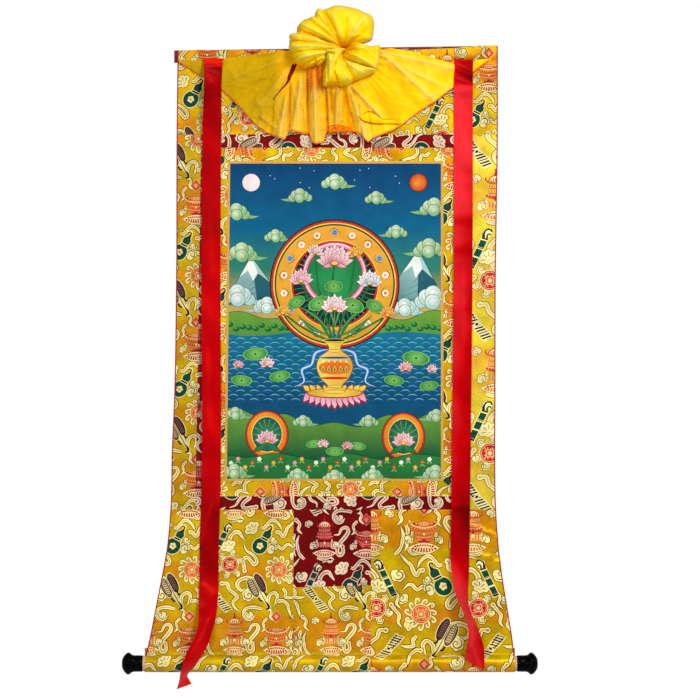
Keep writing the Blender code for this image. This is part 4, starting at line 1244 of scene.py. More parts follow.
def make_head_panel():
    def top(x):
        return heading_top(x) - rows_at(HEADING_DROPS, x)

    left = dict(origin=(-0.2778, -0.0978), within=(-1, HEADING_JOIN))
    right = dict(origin=(0.2547, -0.1361), within=(HEADING_JOIN, 1))
    # Its threads are the shaded copy of the gold brocade: painted shade.
    fabric = (SHADED_GOLD_THREADS, GOLD_GROUND, left, right)
    outline = cut(inside_left, inside_right, FRAME_TOP, top)
    hang_piece("panel_head_cloth", outline, fabric, (0.603, 0.168))


def make_side_panels():
    left = cut(inside_left, seam("frame_left"), FRAME_FOOT, FRAME_TOP, 24)
    right = cut(seam("frame_right"), inside_right, FRAME_FOOT, FRAME_TOP, 24)
    # The left panel is the shaded copy of the gold brocade: painted shade.
    fabric = (SHADED_GOLD_THREADS, SHADED_GOLD_GROUND, dict(origin=(-0.2991, -0.3863)))
    hang_piece("panel_left_cloth", left, fabric, (0.048, 0.709))
    fabric = (LEMON_THREADS, LEMON_GROUND, dict(origin=(0.3592, -0.3961), size=1.26))
    hang_piece("panel_right_cloth", right, fabric, (0.053, 0.709))


def make_foot_panels():
    left, right = seam("foot_left"), seam("foot_right")

    def door_foot(x):
        share = (x - left(FRAME_FOOT)) / (right(FRAME_FOOT) - left(FRAME_FOOT))
        return lerp(DOOR_FOOT_LEFT, DOOR_FOOT_RIGHT, share)

    low = BEND_Z - HEM_LENGTH
    long = FRAME_FOOT - low
    cuts = [
        ("left", inside_left, left, FRAME_FOOT, (0.282, long), dict(origin=(-0.147, -0.9419))),
        ("middle", left, right, door_foot, (0.147, long - 0.145), dict(origin=(0.0354, -0.9419))),
        ("right", right, inside_right, FRAME_FOOT, (0.272, long),
         dict(origin=(0.1993, -1.018), size=1.17, mirrored=True)),
    ]
    for side, one, other, high, size, lay in cuts:
        outline = cut(on_hem(one), on_hem(other), low, high, 60)
        tapes = [] if side == "middle" else [make_binding(side)]
        fabric = (GOLD_THREADS, GOLD_GROUND, lay)
        hang_piece(f"panel_foot_{side}_cloth", outline, fabric, size, rows=HEM_ROWS)


# --- the picture: a vase of lotuses over a lake, in mm from the middle of the canvas ---

PAINTS = {
    name: colour(code, MATT)
    for name, code in dict(
        night="083F6E", sky="0A6288", haze="2F8068", dusk="C2A85A", sand="CFAE62", snow="F2F4EE",
        ice="A8CFC8", stone="2E6E78", deep_stone="134A5A", cloud="E2ECCB", mist="86B478", moss="4E9A5E",
        edge="1F5A4E", lake="127290", deep_lake="0A4E74", foam="86C4CC", meadow="6FA23A", grass="2F7E3C",
        shadow_grass="175A34", leaf="1F7F45", light_leaf="7CBF5A", dark_leaf="0E4A30", pink="E889A8",
        rose="C83C62", blush="F8DCE0", white="FBF7EE", orange="E87A1E", amber="F2A93A", gold="D8A02C",
        bright_gold="F7D25A", brown="7A3A12", vermilion="CF2E1C", crimson="9C1426", teal="0E5652",
        ink="10222C", blue="1E4E9C", light_blue="6FA8D8", jade="2E9A58", violet="6A4A8C",
    ).items()
}


def wash(near, far, start, end):
    """A colour that runs from start to end. end may be a radius."""
    return ("straight" if isinstance(end, tuple) else "round", near, far, start, end)


def blossom(x, y, size, tip, base):
    """A lotus flower seen from the side: three rows of petals and a golden heart."""
    chart = []
    rows = ((78, 7, 1.00, 0.4), (62, 6, 0.86, 0.42), (44, 5, 0.7, 0.44), (20, 3, 0.52, 0.46))
    for spread, count, length, width in rows[size < 24 :]:
        for k in range(count):
            lean = spread * (2 * k / (count - 1) - 1)
            a, way, wide = 90 - lean, math.radians(90 - lean), size * width
            reach = size * length * (1 - 0.12 * abs(lean) / 90)
            chart += petal("crimson", *spot(x, y, way, -0.6), reach + 1.5, wide + 1.3, a, 7)
            chart += petal(wash(base, tip, (x, y), spot(x, y, way, reach)), x, y, reach, wide, a, 7)
            chart += stroke(base, [spot(x, y, way, reach * t) for t in (0.25, 0.8)], (0.9, 0.2), 1)
    for side in (-1, 1):
        a, end = 90 - side * 108, (x + side * size * 0.6, y - size * 0.1)
        chart += petal("crimson", x, y + 1, size * 0.62, size * 0.26, a, 6)
        chart += petal(wash(base, tip, (x, y), end), x, y + 1, size * 0.56, size * 0.2, a, 6)
    chart += disc("brown", x, y + 1, size * 0.2, size * 0.13)
    return chart + disc("bright_gold", x, y + 1.6, size * 0.16, size * 0.09)


def lotus_leaf(x, y, size, degrees, flat=0.62):
    """A round leaf seen aslant, with veins and a paler rim."""
    chart, middle = [], wash("light_leaf", "leaf", (x, y), size * 0.9)
    for thread, wide in (("dark_leaf", size + 1), ("light_leaf", size), (middle, size * 0.9)):
        chart += disc(thread, 0, 0, wide, wide * flat, steps=22)
    for a in turns(9, 0.3):
        chart += stroke("light_leaf", [(0, 0), spot(0, 0, a, size * 0.8, size * 0.8 * flat)], (1.1, 0.3), 1)
    return placed(chart + disc("dark_leaf", 0, 0, size * 0.1, size * 0.08, steps=8), degrees, (x, y))


def blade(x, y, length, degrees, bend):
    """A long leaf that bends over."""
    line = [(0, 0), (length * 0.5, bend * 0.15), (length, bend)]
    layers = (("dark_leaf", (3.0, 8.6, 1.0)), ("leaf", (2.0, 7.0, 0.3)), ("light_leaf", (0.5, 1.1, 0.2)))
    chart = [link for thread, widths in layers for link in stroke(thread, line, widths, 4)]
    return placed(chart, degrees, (x, y))


def billow(x, y, size, hand, fill="cloud", rim="mist"):
    """A heap of cloud: outlined rounds, each with a rolled inner line, and a trailing foot."""
    tail = [(x + hand * size * out, y - size * down) for out, down in ((1.2, 0.5), (2.4, 0.62), (3.3, 0.5))]
    chart = stroke("edge", tail, (size * 0.72 + 1.4, size * 0.4 + 1.4, 1.2), 3)
    chart += stroke(rim, tail, (size * 0.72, size * 0.4, 0.4), 3)
    rounds = (
        (-1.5, -0.25, 0.62), (1.3, -0.3, 0.66), (-0.75, 0.15, 0.78),
        (0.7, 0.2, 0.84), (0.0, 0.55, 0.86), (0.05, -0.3, 0.8),
    )
    for dx, dy, r in rounds:
        cx, cy, radius = x + hand * dx * size, y + dy * size, r * size
        tint = wash(fill, rim, (cx - radius * 0.2, cy + radius * 0.35), radius * 1.15)
        chart += disc("edge", cx, cy, radius + 0.8, steps=16) + disc(tint, cx, cy, radius, steps=16)
        roll = [spot(cx, cy, a, hand * radius * 0.62, radius * 0.62) for a in (2.6, 1.4, 0.2, -0.9, -2.0)]
        chart += stroke("moss", roll, (0.3, 0.9, 0.9, 0.3), 1)
    return chart


def peak(x, foot, wide, high, lean):
    """A snow mountain of lit and shaded slopes."""
    top = (x + lean, foot + high)
    left, right = (x - wide / 2, foot), (x + wide / 2, foot)
    knee = (x + lean * 0.2 + wide * 0.05, foot)
    chart = [
        ("ink", [(left[0] - 1, foot), (right[0] + 1, foot), (top[0], top[1] + 1.6)]),
        (wash("ice", "stone", top, left), [left, knee, top]),
        (wash("stone", "deep_stone", top, right), [knee, right, top]),
    ]

    def down_to(base, share):
        return top[0] + (base - top[0]) * share, top[1] + (foot - top[1]) * share

    drops = (0.42, 0.28, 0.5, 0.34, 0.52)  # how far down the snow comes, from left to right
    snow = [top, *(down_to(left[0] + wide * k / 4, share) for k, share in enumerate(drops))]
    chart += [("snow", snow), ("ice", [top, snow[4], snow[5]])]
    for k in range(4):
        a = down_to(knee[0], 0.5 + 0.12 * k)
        chart += stroke("deep_stone", [a, (a[0] - wide * 0.08 * (k + 1), a[1] - high * 0.1)], (0.9, 0.3), 1)
    return chart


WIDE, HIGH = 240, 340  # half the width and height that the scene is drawn to, past the canvas


def hill(points, near, far):
    """Ground below a rolling skyline. points run left to right."""
    sky = smooth(points, 6).tolist()[::-1]
    foot = [(-WIDE, 10 - HIGH), (WIDE, 10 - HIGH)]
    reach = max(y for _, y in points)
    fill = wash(near, far, (0.0, reach), (0.0, reach - 90))
    return [("dark_leaf", [*foot, *((x, y + 1.1) for x, y in sky)]), (fill, [*foot, *sky])]


def jewel_disc(x, y, size, heart):
    """A small orange aureole that holds a bud on a lotus."""
    amber = wash("amber", "orange", (x, y + size * 0.4), size * 1.1)
    jade = wash("jade", "teal", (x, y), size * 0.8)
    chart = disc("ink", x, y, size + 1.2, size * 1.12 + 1.2, steps=26)
    for thread, wide, high, steps in (("vermilion", 1, 1.12, 26), (amber, 0.93, 1.05, 26),
                                      ("bright_gold", 0.74, 0.86, 24), (jade, 0.7, 0.82, 24)):
        chart += disc(thread, x, y, size * wide, size * high, steps=steps)
    for a in turns(14):
        chart += stroke(
            "gold", [spot(x, y, a, size * r, size * r * 1.15) for r in (0.3, 0.64)], (0.3, 0.8), 1
        )
    chart += blossom(x, y - size * 0.36, size * 0.62, "blush", heart)
    for side in (-1, 1):
        for thread, long, wide in (("dark_leaf", 0.8, 0.3), ("leaf", 0.72, 0.22)):
            chart += petal(thread, x, y - size * 0.42, size * long, size * wide, 90 + side * 122, 6)
    return chart


def aureole(y, size):
    """The great round behind the vase: a gold band with flowers, and rays on dark teal."""
    band = wash("gold", "amber", (0, y - size), (0, y + size))
    rings = (
        (1.04, "ink"), (1.02, "vermilion"), (0.985, "bright_gold"), (0.965, "dark_leaf"), (0.94, band),
        (0.71, "bright_gold"), (0.695, "vermilion"), (0.665, wash("teal", "ink", (0, y), size * 0.7)),
    )
    chart = [pair for share, thread in rings for pair in disc(thread, 0, y, size * share, steps=60)]
    for k, a in enumerate(turns(48)):
        wave = [(r, 0.01 * math.sin(j * 1.7)) for j, r in enumerate((0.34, 0.42, 0.5, 0.58, 0.655))]
        chart += stroke(
            "jade" if k % 2 else "gold", [spot(0, y, a + b, size * r) for r, b in wave], (0.4, 1.3), 1
        )
    for k in range(18):
        a = 2 * math.pi * (k + 0.5) / 18
        cx, cy = spot(0, y, a, size * 0.825)
        vine = [
            spot(0, y, a + 0.07 * j - 0.1, size * (0.825 + 0.07 * math.sin(k * math.pi + j)))
            for j in range(4)
        ]
        chart += stroke("brown", vine, (0.8, 1.4, 0.6), 2)
        heart = ("pink", "blue", "vermilion")[k % 3]
        for b in turns(6, a):
            chart += disc("light_blue" if heart == "blue" else "white", *spot(cx, cy, b, 3.9), 2.6, steps=8)
        chart += disc(heart, cx, cy, 3.1, steps=10) + disc("bright_gold", cx, cy, 1.2, steps=6)
    leaf = wash("jade", "leaf", (0, y), size * 0.45)
    for share, thread in ((0.52, "rose"), (0.5, "blush"), (0.475, "pink"), (0.445, "crimson"), (0.43, leaf)):
        chart += disc(thread, 0, y + size * 0.16, size * share, steps=44)
    return chart


def treasure_vase(y):
    """A golden vase on an open lotus, with scarves at its neck. Its foot is 8 mm below y."""
    chart = []
    for k in range(11):
        t = (k - 5) / 5
        foot, lean = y - 16 + 8 * abs(t), -90 + 38 * t
        blush = wash("pink", "blush", (40 * t, y - 16), (52 * t, y - 42))
        chart += petal("crimson", 44 * t, foot, 27, 15.5, lean, 7)
        chart += petal(blush, 44 * t, foot + 1, 24, 12.5, lean, 7)
    for k in range(10):
        t = (k - 4.5) / 4.5
        foot, lean = y - 14 + 7 * abs(t), 90 - 52 * t
        orange = wash("orange", "bright_gold", (42 * t, y - 14), (56 * t, y + 4))
        chart += petal("brown", 46 * t, foot, 20, 12.5, lean, 7)
        chart += petal(orange, 46 * t, foot + 1, 17, 9.6, lean, 7)
    chart += disc("brown", 0, y - 10, 53, 9.6, steps=30)
    chart += disc(wash("bright_gold", "gold", (0, y - 9), 52), 0, y - 9.6, 51, 8.0, steps=30)
    half = [
        (17, 0), (21, 5), (12, 11), (25, 25), (33, 42), (33, 55), (26, 68), (13, 77), (11, 86), (18, 94),
        (24, 98),
    ]
    body = smooth(half, 5).tolist()
    gold = wash("bright_gold", "gold", (-20, y + 40), (34, y + 34))
    for thread, grow in (("brown", 1.3), (gold, 0.0)):
        right = [(px + grow, y - 8 + py) for px, py in body]
        chart += [(thread, right + [(-px, py) for px, py in right[::-1]])]
    for low, high, wide, thread in (
        (24, 29, 27, "vermilion"), (63, 67, 28.5, "blue"), (33, 59, 30.5, "orange")
    ):
        chart += disc(thread, 0, y + (low + high) / 2 - 8, wide, (high - low) / 2, steps=24)
    for x in (-22, -11, 0, 11, 22):
        for thread, up, long, wide, steps in (
            ("vermilion", 27, 19, 11.0, 7), ("amber", 28.5, 15.5, 8.0, 7), ("jade", 30, 10, 4.2, 6),
        ):
            chart += petal(thread, x, y + up, long, wide, 90, steps)
        chart += disc("white", x, y + 50, 1.6, steps=7)
    for up, wide, high in ((-7.4, 19, 3.0), (2.6, 13.6, 2.0), (70, 13.6, 2.4), (89.5, 24.5, 3.6)):
        chart += disc("brown", 0, y + up, wide + 0.8, high + 0.8, steps=22)
        chart += disc("bright_gold", 0, y + up, wide, high, steps=22)
    chart += disc("ink", 0, y + 90, 20, 2.3, steps=20)
    for side in (-1, 1):
        scarf = [(side * x, y + up) for x, up in ((13, 73), (36, 66), (44, 44), (62, 34), (58, 12), (76, 2))]
        chart += stroke("blue", scarf, (3, 10, 8, 9, 6, 1), 5)
        chart += stroke("light_blue", scarf, (1, 6.5, 4.5, 5.5, 3, 0.4), 5)
        chart += stroke("white", scarf, (0.4, 1.4, 1.2, 1.2, 0.5), 5)
    return chart


def field(thread, low, high):
    """A band of colour right across."""
    return [(thread, [(-WIDE, low), (WIDE, low), (WIDE, high), (-WIDE, high)])]


def sky_chart():
    """The sky with sun, moon and stars, then the snow mountains and their clouds."""
    chart = field("sky", -HIGH, HIGH) + field(wash("night", "sky", (0, 298), (0, 170)), 150, HIGH)
    chart += field(wash("sky", "haze", (0, 175), (0, 95)), 90, 176)
    chart += field(wash("haze", "dusk", (0, 96), (0, 30)), -60, 96)
    for x, thread, near in ((-158, "blush", "white"), (158, "vermilion", "amber")):
        chart += disc("ink", x, 262, 17.6, steps=26) + disc(thread, x, 262, 16.6, steps=26)
        chart += disc(wash(near, thread, (x, 262), 17), x, 262, 15.0, steps=26)
    for k in range(22):
        x, y = -185 + 37 * (k % 11) + 11 * math.sin(k * 2.4), 282 - 21 * (k // 11) + 9 * math.cos(k * 1.9)
        if 30 < abs(x) < 130:
            chart += disc("white", x, y, 1.0, steps=5)
    chart += each(
        peak, (-150, 30, 120, 92, -8), (148, 30, 128, 104, 10), (-76, 28, 100, 64, 6), (82, 26, 96, 60, -4)
    )
    chart += each(
        billow, (-186, 205, 13, 1), (188, 214, 14, -1), (-66, 236, 11, -1), (78, 232, 10, 1), (0, 262, 12, 1),
        (-176, 128, 15, 1), (178, 136, 15, -1), (-112, 160, 10, 1), (116, 168, 10, -1),
    )
    return chart + each(
        billow, (-184, 46, 17, 1), (186, 42, 18, -1), (-128, 28, 13, -1), (132, 24, 14, 1), (-84, 18, 10, 1),
        (90, 16, 11, -1), fill="white", rim="ice",
    )


def lake_chart():
    """The far meadow with its bushes, then the lake and its ripples."""
    shore = [(-240, 8), (-180, 18), (-130, 4), (-70, 10), (0, 2), (70, 12), (130, 2), (185, 20), (240, 10)]
    chart = hill(shore, "meadow", "grass")
    for k in range(34):
        x, y = -198 + 12 * k, -6 - 9 * abs(math.sin(k * 1.3))
        chart += disc("dark_leaf", x, y, 6.2, 5.0, steps=9)
        chart += disc("leaf", x - 0.8, y + 1.0, 5.0, 3.8, steps=9)
        chart += disc("light_leaf", x - 2, y + 2.0, 1.8, 1.4, steps=6)
    lake = smooth([(-240, -22), (-150, -28), (-60, -20), (30, -28), (120, -20), (240, -28)], 5).tolist()
    water = wash("lake", "deep_lake", (0, -24), (0, -140))
    chart += [(water, [(-WIDE, -HIGH), (WIDE, -HIGH), *lake[::-1]])]
    for row in range(15):
        for column in range(17):
            x, y = -204 + 26 * column + 13 * (row % 2), -33 - 8.2 * row
            arch = [(x - 9, y - 1.5), (x - 3, y + 1.4), (x + 3, y + 1.2), (x + 9, y - 1.8)]
            chart += stroke("foam" if (row + column) % 3 else "light_blue", arch, (0.3, 1.3, 1.3, 0.3), 1)
    return chart


def bouquet_chart():
    """The aureole, the lotuses on the lake, and the vase with its stems, leaves and flowers."""
    chart = aureole(70, 118)
    chart += each(
        lotus_leaf, (-150, -62, 24, 6), (154, -70, 26, -8), (-104, -104, 20, 10), (112, -112, 19, -6),
        (-176, -112, 20, -4), (178, -122, 18, 8), flat=0.5,
    )
    chart += each(
        blossom, (-128, -84, 21, "white", "pink"), (134, -92, 20, "blush", "rose"),
        (-182, -86, 15, "blush", "rose"), (184, -94, 15, "white", "pink"),
    )
    stems = (
        ((0, -40), (-6, 40), (0, 118)), ((-4, -40), (-40, 20), (-62, 70)), ((4, -40), (42, 24), (64, 66)),
        ((-6, -40), (-60, -12), (-96, 14)), ((6, -40), (62, -10), (98, 10)),
        ((-3, -40), (-30, 60), (-36, 126)), ((3, -40), (30, 62), (38, 122)),
    )
    for stem in stems:
        chart += stroke("dark_leaf", stem, (4.6, 3.4), 6) + stroke("leaf", stem, (2.8, 1.8), 6)
    chart += each(
        blade, (-10, -20, 74, 128, 16), (10, -20, 78, 54, -18), (-14, -26, 66, 160, -16),
        (14, -26, 66, 20, 16), (0, -10, 84, 104, 12), (0, -10, 80, 74, -14),
    )
    chart += each(
        lotus_leaf, (-30, 34, 21, 24), (34, 30, 22, -20), (-72, 36, 17, 30), (76, 28, 18, -30),
        (-2, 66, 18, 4),
    )
    chart += each(
        blossom, (-64, 74, 27, "blush", "pink"), (66, 70, 28, "white", "light_blue"),
        (-98, 14, 22, "bright_gold", "orange"), (100, 10, 22, "bright_gold", "vermilion"),
        (-37, 128, 22, "white", "pink"), (39, 124, 22, "bright_gold", "orange"),
        (0, 108, 40, "blush", "rose"), (0, 22, 30, "white", "pink"),
    )
    return chart + treasure_vase(-126)


def shore_chart():
    """The near shore: two hills, two jewelled discs, a row of daisies, leaves and low clouds."""
    far = [
        (-240, -176), (-190, -164), (-140, -182), (-92, -176), (-50, -198), (0, -192), (50, -200),
        (100, -178), (150, -186), (196, -168), (240, -180),
    ]
    near = [
        (-240, -246), (-170, -258), (-110, -250), (-40, -262), (20, -250), (90, -262), (150, -252),
        (240, -262),
    ]
    chart = hill(far, "meadow", "shadow_grass")
    chart += each(billow, (-60, -190, 9, 1), (64, -190, 9, -1), (-188, -176, 10, 1), (192, -180, 10, -1))
    chart += each(jewel_disc, (-128, -214, 40, "rose"), (130, -218, 40, "orange"))
    chart += hill(near, "grass", "shadow_grass")
    for k in range(30):
        x, y = -196 + 13.4 * k, -268 + 9 * math.sin(k * 2.1)
        for a in turns(5):
            chart += disc(("white", "pink", "amber", "vermilion")[k % 4], *spot(x, y, a, 2.6), 1.8, steps=7)
        chart += disc("bright_gold", x, y, 1.4, steps=6)
        for side in (-1, 1):
            chart += petal("light_leaf", x, y - 4, 7, 2.6, -90 + side * 50, 4)
    chart += each(lotus_leaf, (-40, -232, 15, 8), (44, -236, 15, -8), (0, -246, 17, 0), flat=0.5)
    chart += each(blossom, (-22, -236, 16, "white", "pink"), (24, -240, 16, "blush", "rose"))
    return chart + each(
        billow, (-190, -286, 12, 1), (190, -288, 12, -1), (-70, -292, 10, -1), (72, -292, 10, 1),
        (0, -296, 11, 1),
    )


PICTURE_MIDDLE = (-0.0057, (PICTURE_TOP + PICTURE_FOOT) / 2)


def on_canvas(thread):
    """A colour wash moved, as its shape is, from the middle of the picture to its place in metres."""
    if isinstance(thread, str):
        return thread
    kind, near, far, start, end = thread
    ends = [
        tuple(m + v * MM for m, v in zip(PICTURE_MIDDLE, p))
        for p in (start, end) if isinstance(p, tuple)
    ]
    return (kind, near, far, ends[0], end * MM if kind == "round" else ends[1])


def make_picture(fillets):
    outline = cut(seam("picture_left"), seam("picture_right"), PICTURE_FOOT, PICTURE_TOP)
    chart = placed(sky_chart() + lake_chart() + bouquet_chart() + shore_chart(), 0, PICTURE_MIDDLE, MM)
    chart = [(on_canvas(thread), loop) for thread, loop in chart]
    finish = dict(pitch=0.013, rolled=0.0003, reverse=colour("E4D8BC"))
    obj = sewn("picture_canvas", outline, chart, PAINTS, one_colour(PAINTS["sky"]), **finish)
    given(clad(obj, CANVAS, CANVAS_BACK), "picture")


# --- silk: sheets on a grid of points ---


def grid_sheet(name, points, flat, tint, thick, wrapped=False):
    """A sheet from rows of points. tint is its colour at each point, and wrapped closes the rows."""
    rows, columns = points.shape[:2]
    if wrapped:
        along = np.roll(points, -1, axis=1) - np.roll(points, 1, axis=1)
        points, tint, along = (np.concatenate([a, a[:, :1]], axis=1) for a in (points, tint, along))
        columns += 1
    else:
        along = np.gradient(points, axis=1)
    out = np.cross(along, np.gradient(points, axis=0))
    out /= np.maximum(np.linalg.norm(out, axis=2), 1e-12)[..., None]
    number = np.arange(rows * columns).reshape(rows, columns)
    a, b, c, d = number[:-1, :-1], number[:-1, 1:], number[1:, 1:], number[1:, :-1]
    faces = np.concatenate([np.stack([a, b, c], -1).reshape(-1, 3), np.stack([a, c, d], -1).reshape(-1, 3)])
    front = tint.reshape(-1, 4)[faces]
    back = front * np.array([0.8, 0.8, 0.8, 1.0])
    sheet = (flat.reshape(-1, 2), faces, points.reshape(-1, 3), out.reshape(-1, 3))
    return adopt(name, sheet_mesh(name, sheet, sheet, number.ravel(), thick, (front, back)))


def off_mount(x, stand, z):
    """Points in metres, from places in mm that stand this far off the mount."""
    points = np.stack(np.broadcast_arrays(x, -stand, z), axis=-1) * MM
    points[..., 1] += CLOTH_FRONT
    return points


def creased(folds, x, z):
    """Height of these folds here. Each is from x, z to x, z in mm, half width, height."""
    total = np.zeros(np.broadcast(x, z).shape)
    for x0, z0, x1, z1, half, height in folds:
        along_x, along_z = x1 - x0, z1 - z0
        length = math.hypot(along_x, along_z)
        t = ((x - x0) * along_x + (z - z0) * along_z) / length**2
        away = ((x - x0) * along_z - (z - z0) * along_x) / length
        widen = half * (0.45 + 0.55 * np.clip(t, 0, 1))
        total += height * fade(-0.12, 0.2, t) * fade(1.3, 0.9, t) / (1 + (away / widen) ** 2) ** 1.5
    return total


def crushed(x, z, turned):
    """Crushed silk: flat patches with a sharp crease between each, 0 to about 1."""
    total = 0.0
    for k, fine in enumerate((0.052, 0.078, 0.121)):
        a = turned + 1.9 * k
        along, across = x * math.cos(a) + z * math.sin(a), z * math.cos(a) - x * math.sin(a)
        patch = 1 - np.abs(np.sin(fine * along + 1.4 * np.sin(0.043 * across + a)))
        total = total + patch**1.6 / (1 + 0.5 * k)
    return total * 0.6


def blended(low, middle, high, value):
    """A colour from low at 0, by middle at 0.5, to high at 1."""
    value = np.clip(value, 0, 1)[..., None]
    low, middle, high = np.array(low), np.array(middle), np.array(high)
    return np.where(value < 0.5, low + (middle - low) * value * 2, middle + (high - middle) * (value * 2 - 1))


# The silk's yellow, with the orange of its painted shade and the pale yellow of its painted highlight
SILK_PAINTED_SHADE, SILK, SILK_PAINTED_HIGHLIGHT = colour("FF9404"), colour("FFD606"), colour("FFE856")
SILK_OLIVE, SILK_RED = colour("A88604"), colour("D64208")
# How much of the thin silk's red, green and blue is left, on the right wing and on the skirt and left wing:
# partly by what lies behind it, and on the darker skirt and left wing partly painted shade
VEIL_RIGHT, VEIL_SKIRT = (0.9, 0.74, 1.5, 1), (0.72, 0.56, 0.6, 1)
SILK_THICK, TAPE_THICK = 0.0004, 0.0006


def silk_finish():
    """Thin silk: a soft sheen, a fine plain weave and small crushed wrinkles."""
    f = Finish("yellow silk")
    charted = f.charted()
    cloth, place = f.on_cloth(), f.place()
    weave = f.wave(cloth, 420, "DIAGONAL", 0.5)
    crush = f.noise(place, 120, 4, 0.6)
    soft = f.noise(place, 24, 2)
    tone = f.math("ADD", f.spread(soft, 0.92, 1.08, 0.3, 0.7), f.spread(weave, -0.03, 0.03))
    f.set(Base_Color=f.brighter(charted["Color"], tone), Roughness=0.44)
    f.bump(f.math("ADD", crush, f.math("MULTIPLY", weave, 0.05)), 0.7, 0.002)
    f.set(Specular_IOR_Level=0.16, Specular_Tint=colour("FFE050"))
    return f.material


def satin_finish():
    """Red satin ribbon: floats along its length and selvedges at its sides."""
    f = Finish("red satin")
    charted = f.charted()
    cloth, place = f.on_cloth(), f.place()
    floats = f.wave(cloth, 300, "Y", 1.2)
    crush = f.noise(place, 60, 4, 0.6)
    tone = f.math("ADD", f.spread(f.noise(place, 30, 2), 0.86, 1.14, 0.3, 0.7), f.spread(floats, -0.06, 0.06))
    f.set(Base_Color=f.brighter(charted["Color"], f.math("MULTIPLY", tone, DIM)), Roughness=0.34)
    f.bump(f.math("ADD", crush, f.math("MULTIPLY", floats, 0.06)), 0.35, 0.0016)
    f.set(Anisotropic=0.4, Specular_IOR_Level=0.18, Specular_Tint=colour("FF6050"))
    return f.material


YELLOW_SILK = silk_finish()
RED_SATIN = satin_finish()

# --- the veil's wings and skirt ---

VEIL_OUTLINE = [  # x, top z, hem z, in mm
    (-300.0, -24.2, -28.6), (-279.3, -24.0, -41.4), (-252.8, -25.5, -57.1), (-216.9, -25.5, -81.6),
    (-213.1, -20.8, -84.9), (-167.7, -14.9, -133.1), (-146.2, -12.1, -154.8), (-125.0, -9.5, -167.1),
    (-99.7, -7.2, -175.8), (-92.1, -6.4, -159.1), (-76.3, -6.0, -161.0), (-64.5, -6.0, -162.9),
    (-54.0, -6.0, -164.0), (-47.7, -6.0, -180.9), (-41.1, -6.0, -184.1), (-33.9, -6.0, -182.6),
    (-26.0, -6.0, -180.3), (-22.2, -6.0, -163.3), (-3.3, -6.0, -160.8), (31.7, -6.0, -158.9),
    (43.9, -6.0, -167.1), (56.4, -6.0, -180.3), (65.7, -6.0, -173.5), (71.9, -4.0, -169.7),
    (102.5, -1.7, -158.9), (124.3, -5.5, -145.5), (149.2, -9.8, -125.1), (180.6, -19.7, -106.6),
    (221.6, -31.6, -74.1), (254.7, -27.2, -49.3), (268.8, -22.5, -37.6), (285.9, -21.5, -25.3),
]
SKIRT_FOLDS = [  # from x, z, to x, z in mm, half width, height
    (-97, -92, -110, -178, 12, 12), (-90, -70, -92.5, -172, 2.4, -9), (-121, -96, -127, -168, 4, -4),
    (-84, -44, -118, -100, 5, 5), (-70, -56, -78, -166, 11, 10), (-76, -100, -86, -160, 3, 3),
    (-66, -110, -62, -162, 3, -4), (-57.5, -44, -56.5, -166, 2.2, -12), (-45, -66, -40, -190, 9, 14),
    (-50, -84, -48, -150, 2.4, 3), (-34, -140, -27, -186, 4, 4), (-22, -74, -19, -164, 2.6, -9),
    (-13, -82, -12, -122, 4, -5), (-16, -110, -15, -160, 3, 4), (0, -72, -3, -162, 7, 11),
    (8, -100, 10, -158, 2.4, 3), (10, -70, 27, -160, 6, -7), (25, -118, 31, -168, 2.2, -5),
    (22, -72, 76, -124, 4.5, 9), (24, -82, 56, -186, 8, 9), (40, -106, 46, -180, 2.6, -5),
    (58, -110, 70, -172, 3, 4), (60, -66, 104, -132, 14, -5), (84, -12, 180, -98, 7, 6),
    (78, -9, 221, -38, 9, 5), (-65, -38, -64, -88, 2.0, 4), (-55, -38, -55, -80, 1.8, -3),
    (-50, -38, -49, -92, 2.2, 4), (-38, -36, -37, -92, 2.4, 6), (-30, -38, -29, -84, 1.8, -4),
    (-26, -40, -26, -86, 2.0, 4), (82, -20, 150, -112, 9, -3.5), (86, -6, 250, -30, 5, -2.5),
    (92, -24, 205, -76, 6, 3.5), (-92, -36, -156, -120, 9, 5), (-96, -30, -186, -96, 10, -3),
    (-96, -22, -214, -62, 9, 4), (-94, -10, -240, -36, 7, -2), (-110, -64, -150, -148, 7, 4),
    (-150, -128, -118, -152, 6, 5), (-128, -60, -170, -104, 5, -2.5),
]
RAISED_HEM = [
    (-21, -150.5), (-14, -148.5), (-6, -148), (2, -147.2), (10, -149.5), (17, -151), (23, -152.5),
    (28, -158.5),
]
# How far it stands off the mount, in mm: free, where it is sewn, and at the least. Then its crushing
VEIL_STAND, VEIL_SEWN_STAND, VEIL_LEAST, VEIL_CRUSH = 3.2, 1.5, 1.1, 1.5
PINCH = (15.0, -4.0)  # x and z of where the silk is tied
VEIL_TOPS = [(x, top) for x, top, _ in VEIL_OUTLINE]
VEIL_HEMS = [(x, hem) for x, _, hem in VEIL_OUTLINE]


def about_pinch(x, z):
    """Distance and direction from where the silk is tied."""
    return np.hypot(x - PINCH[0], z - PINCH[1]), np.arctan2(z - PINCH[1], x - PINCH[0])


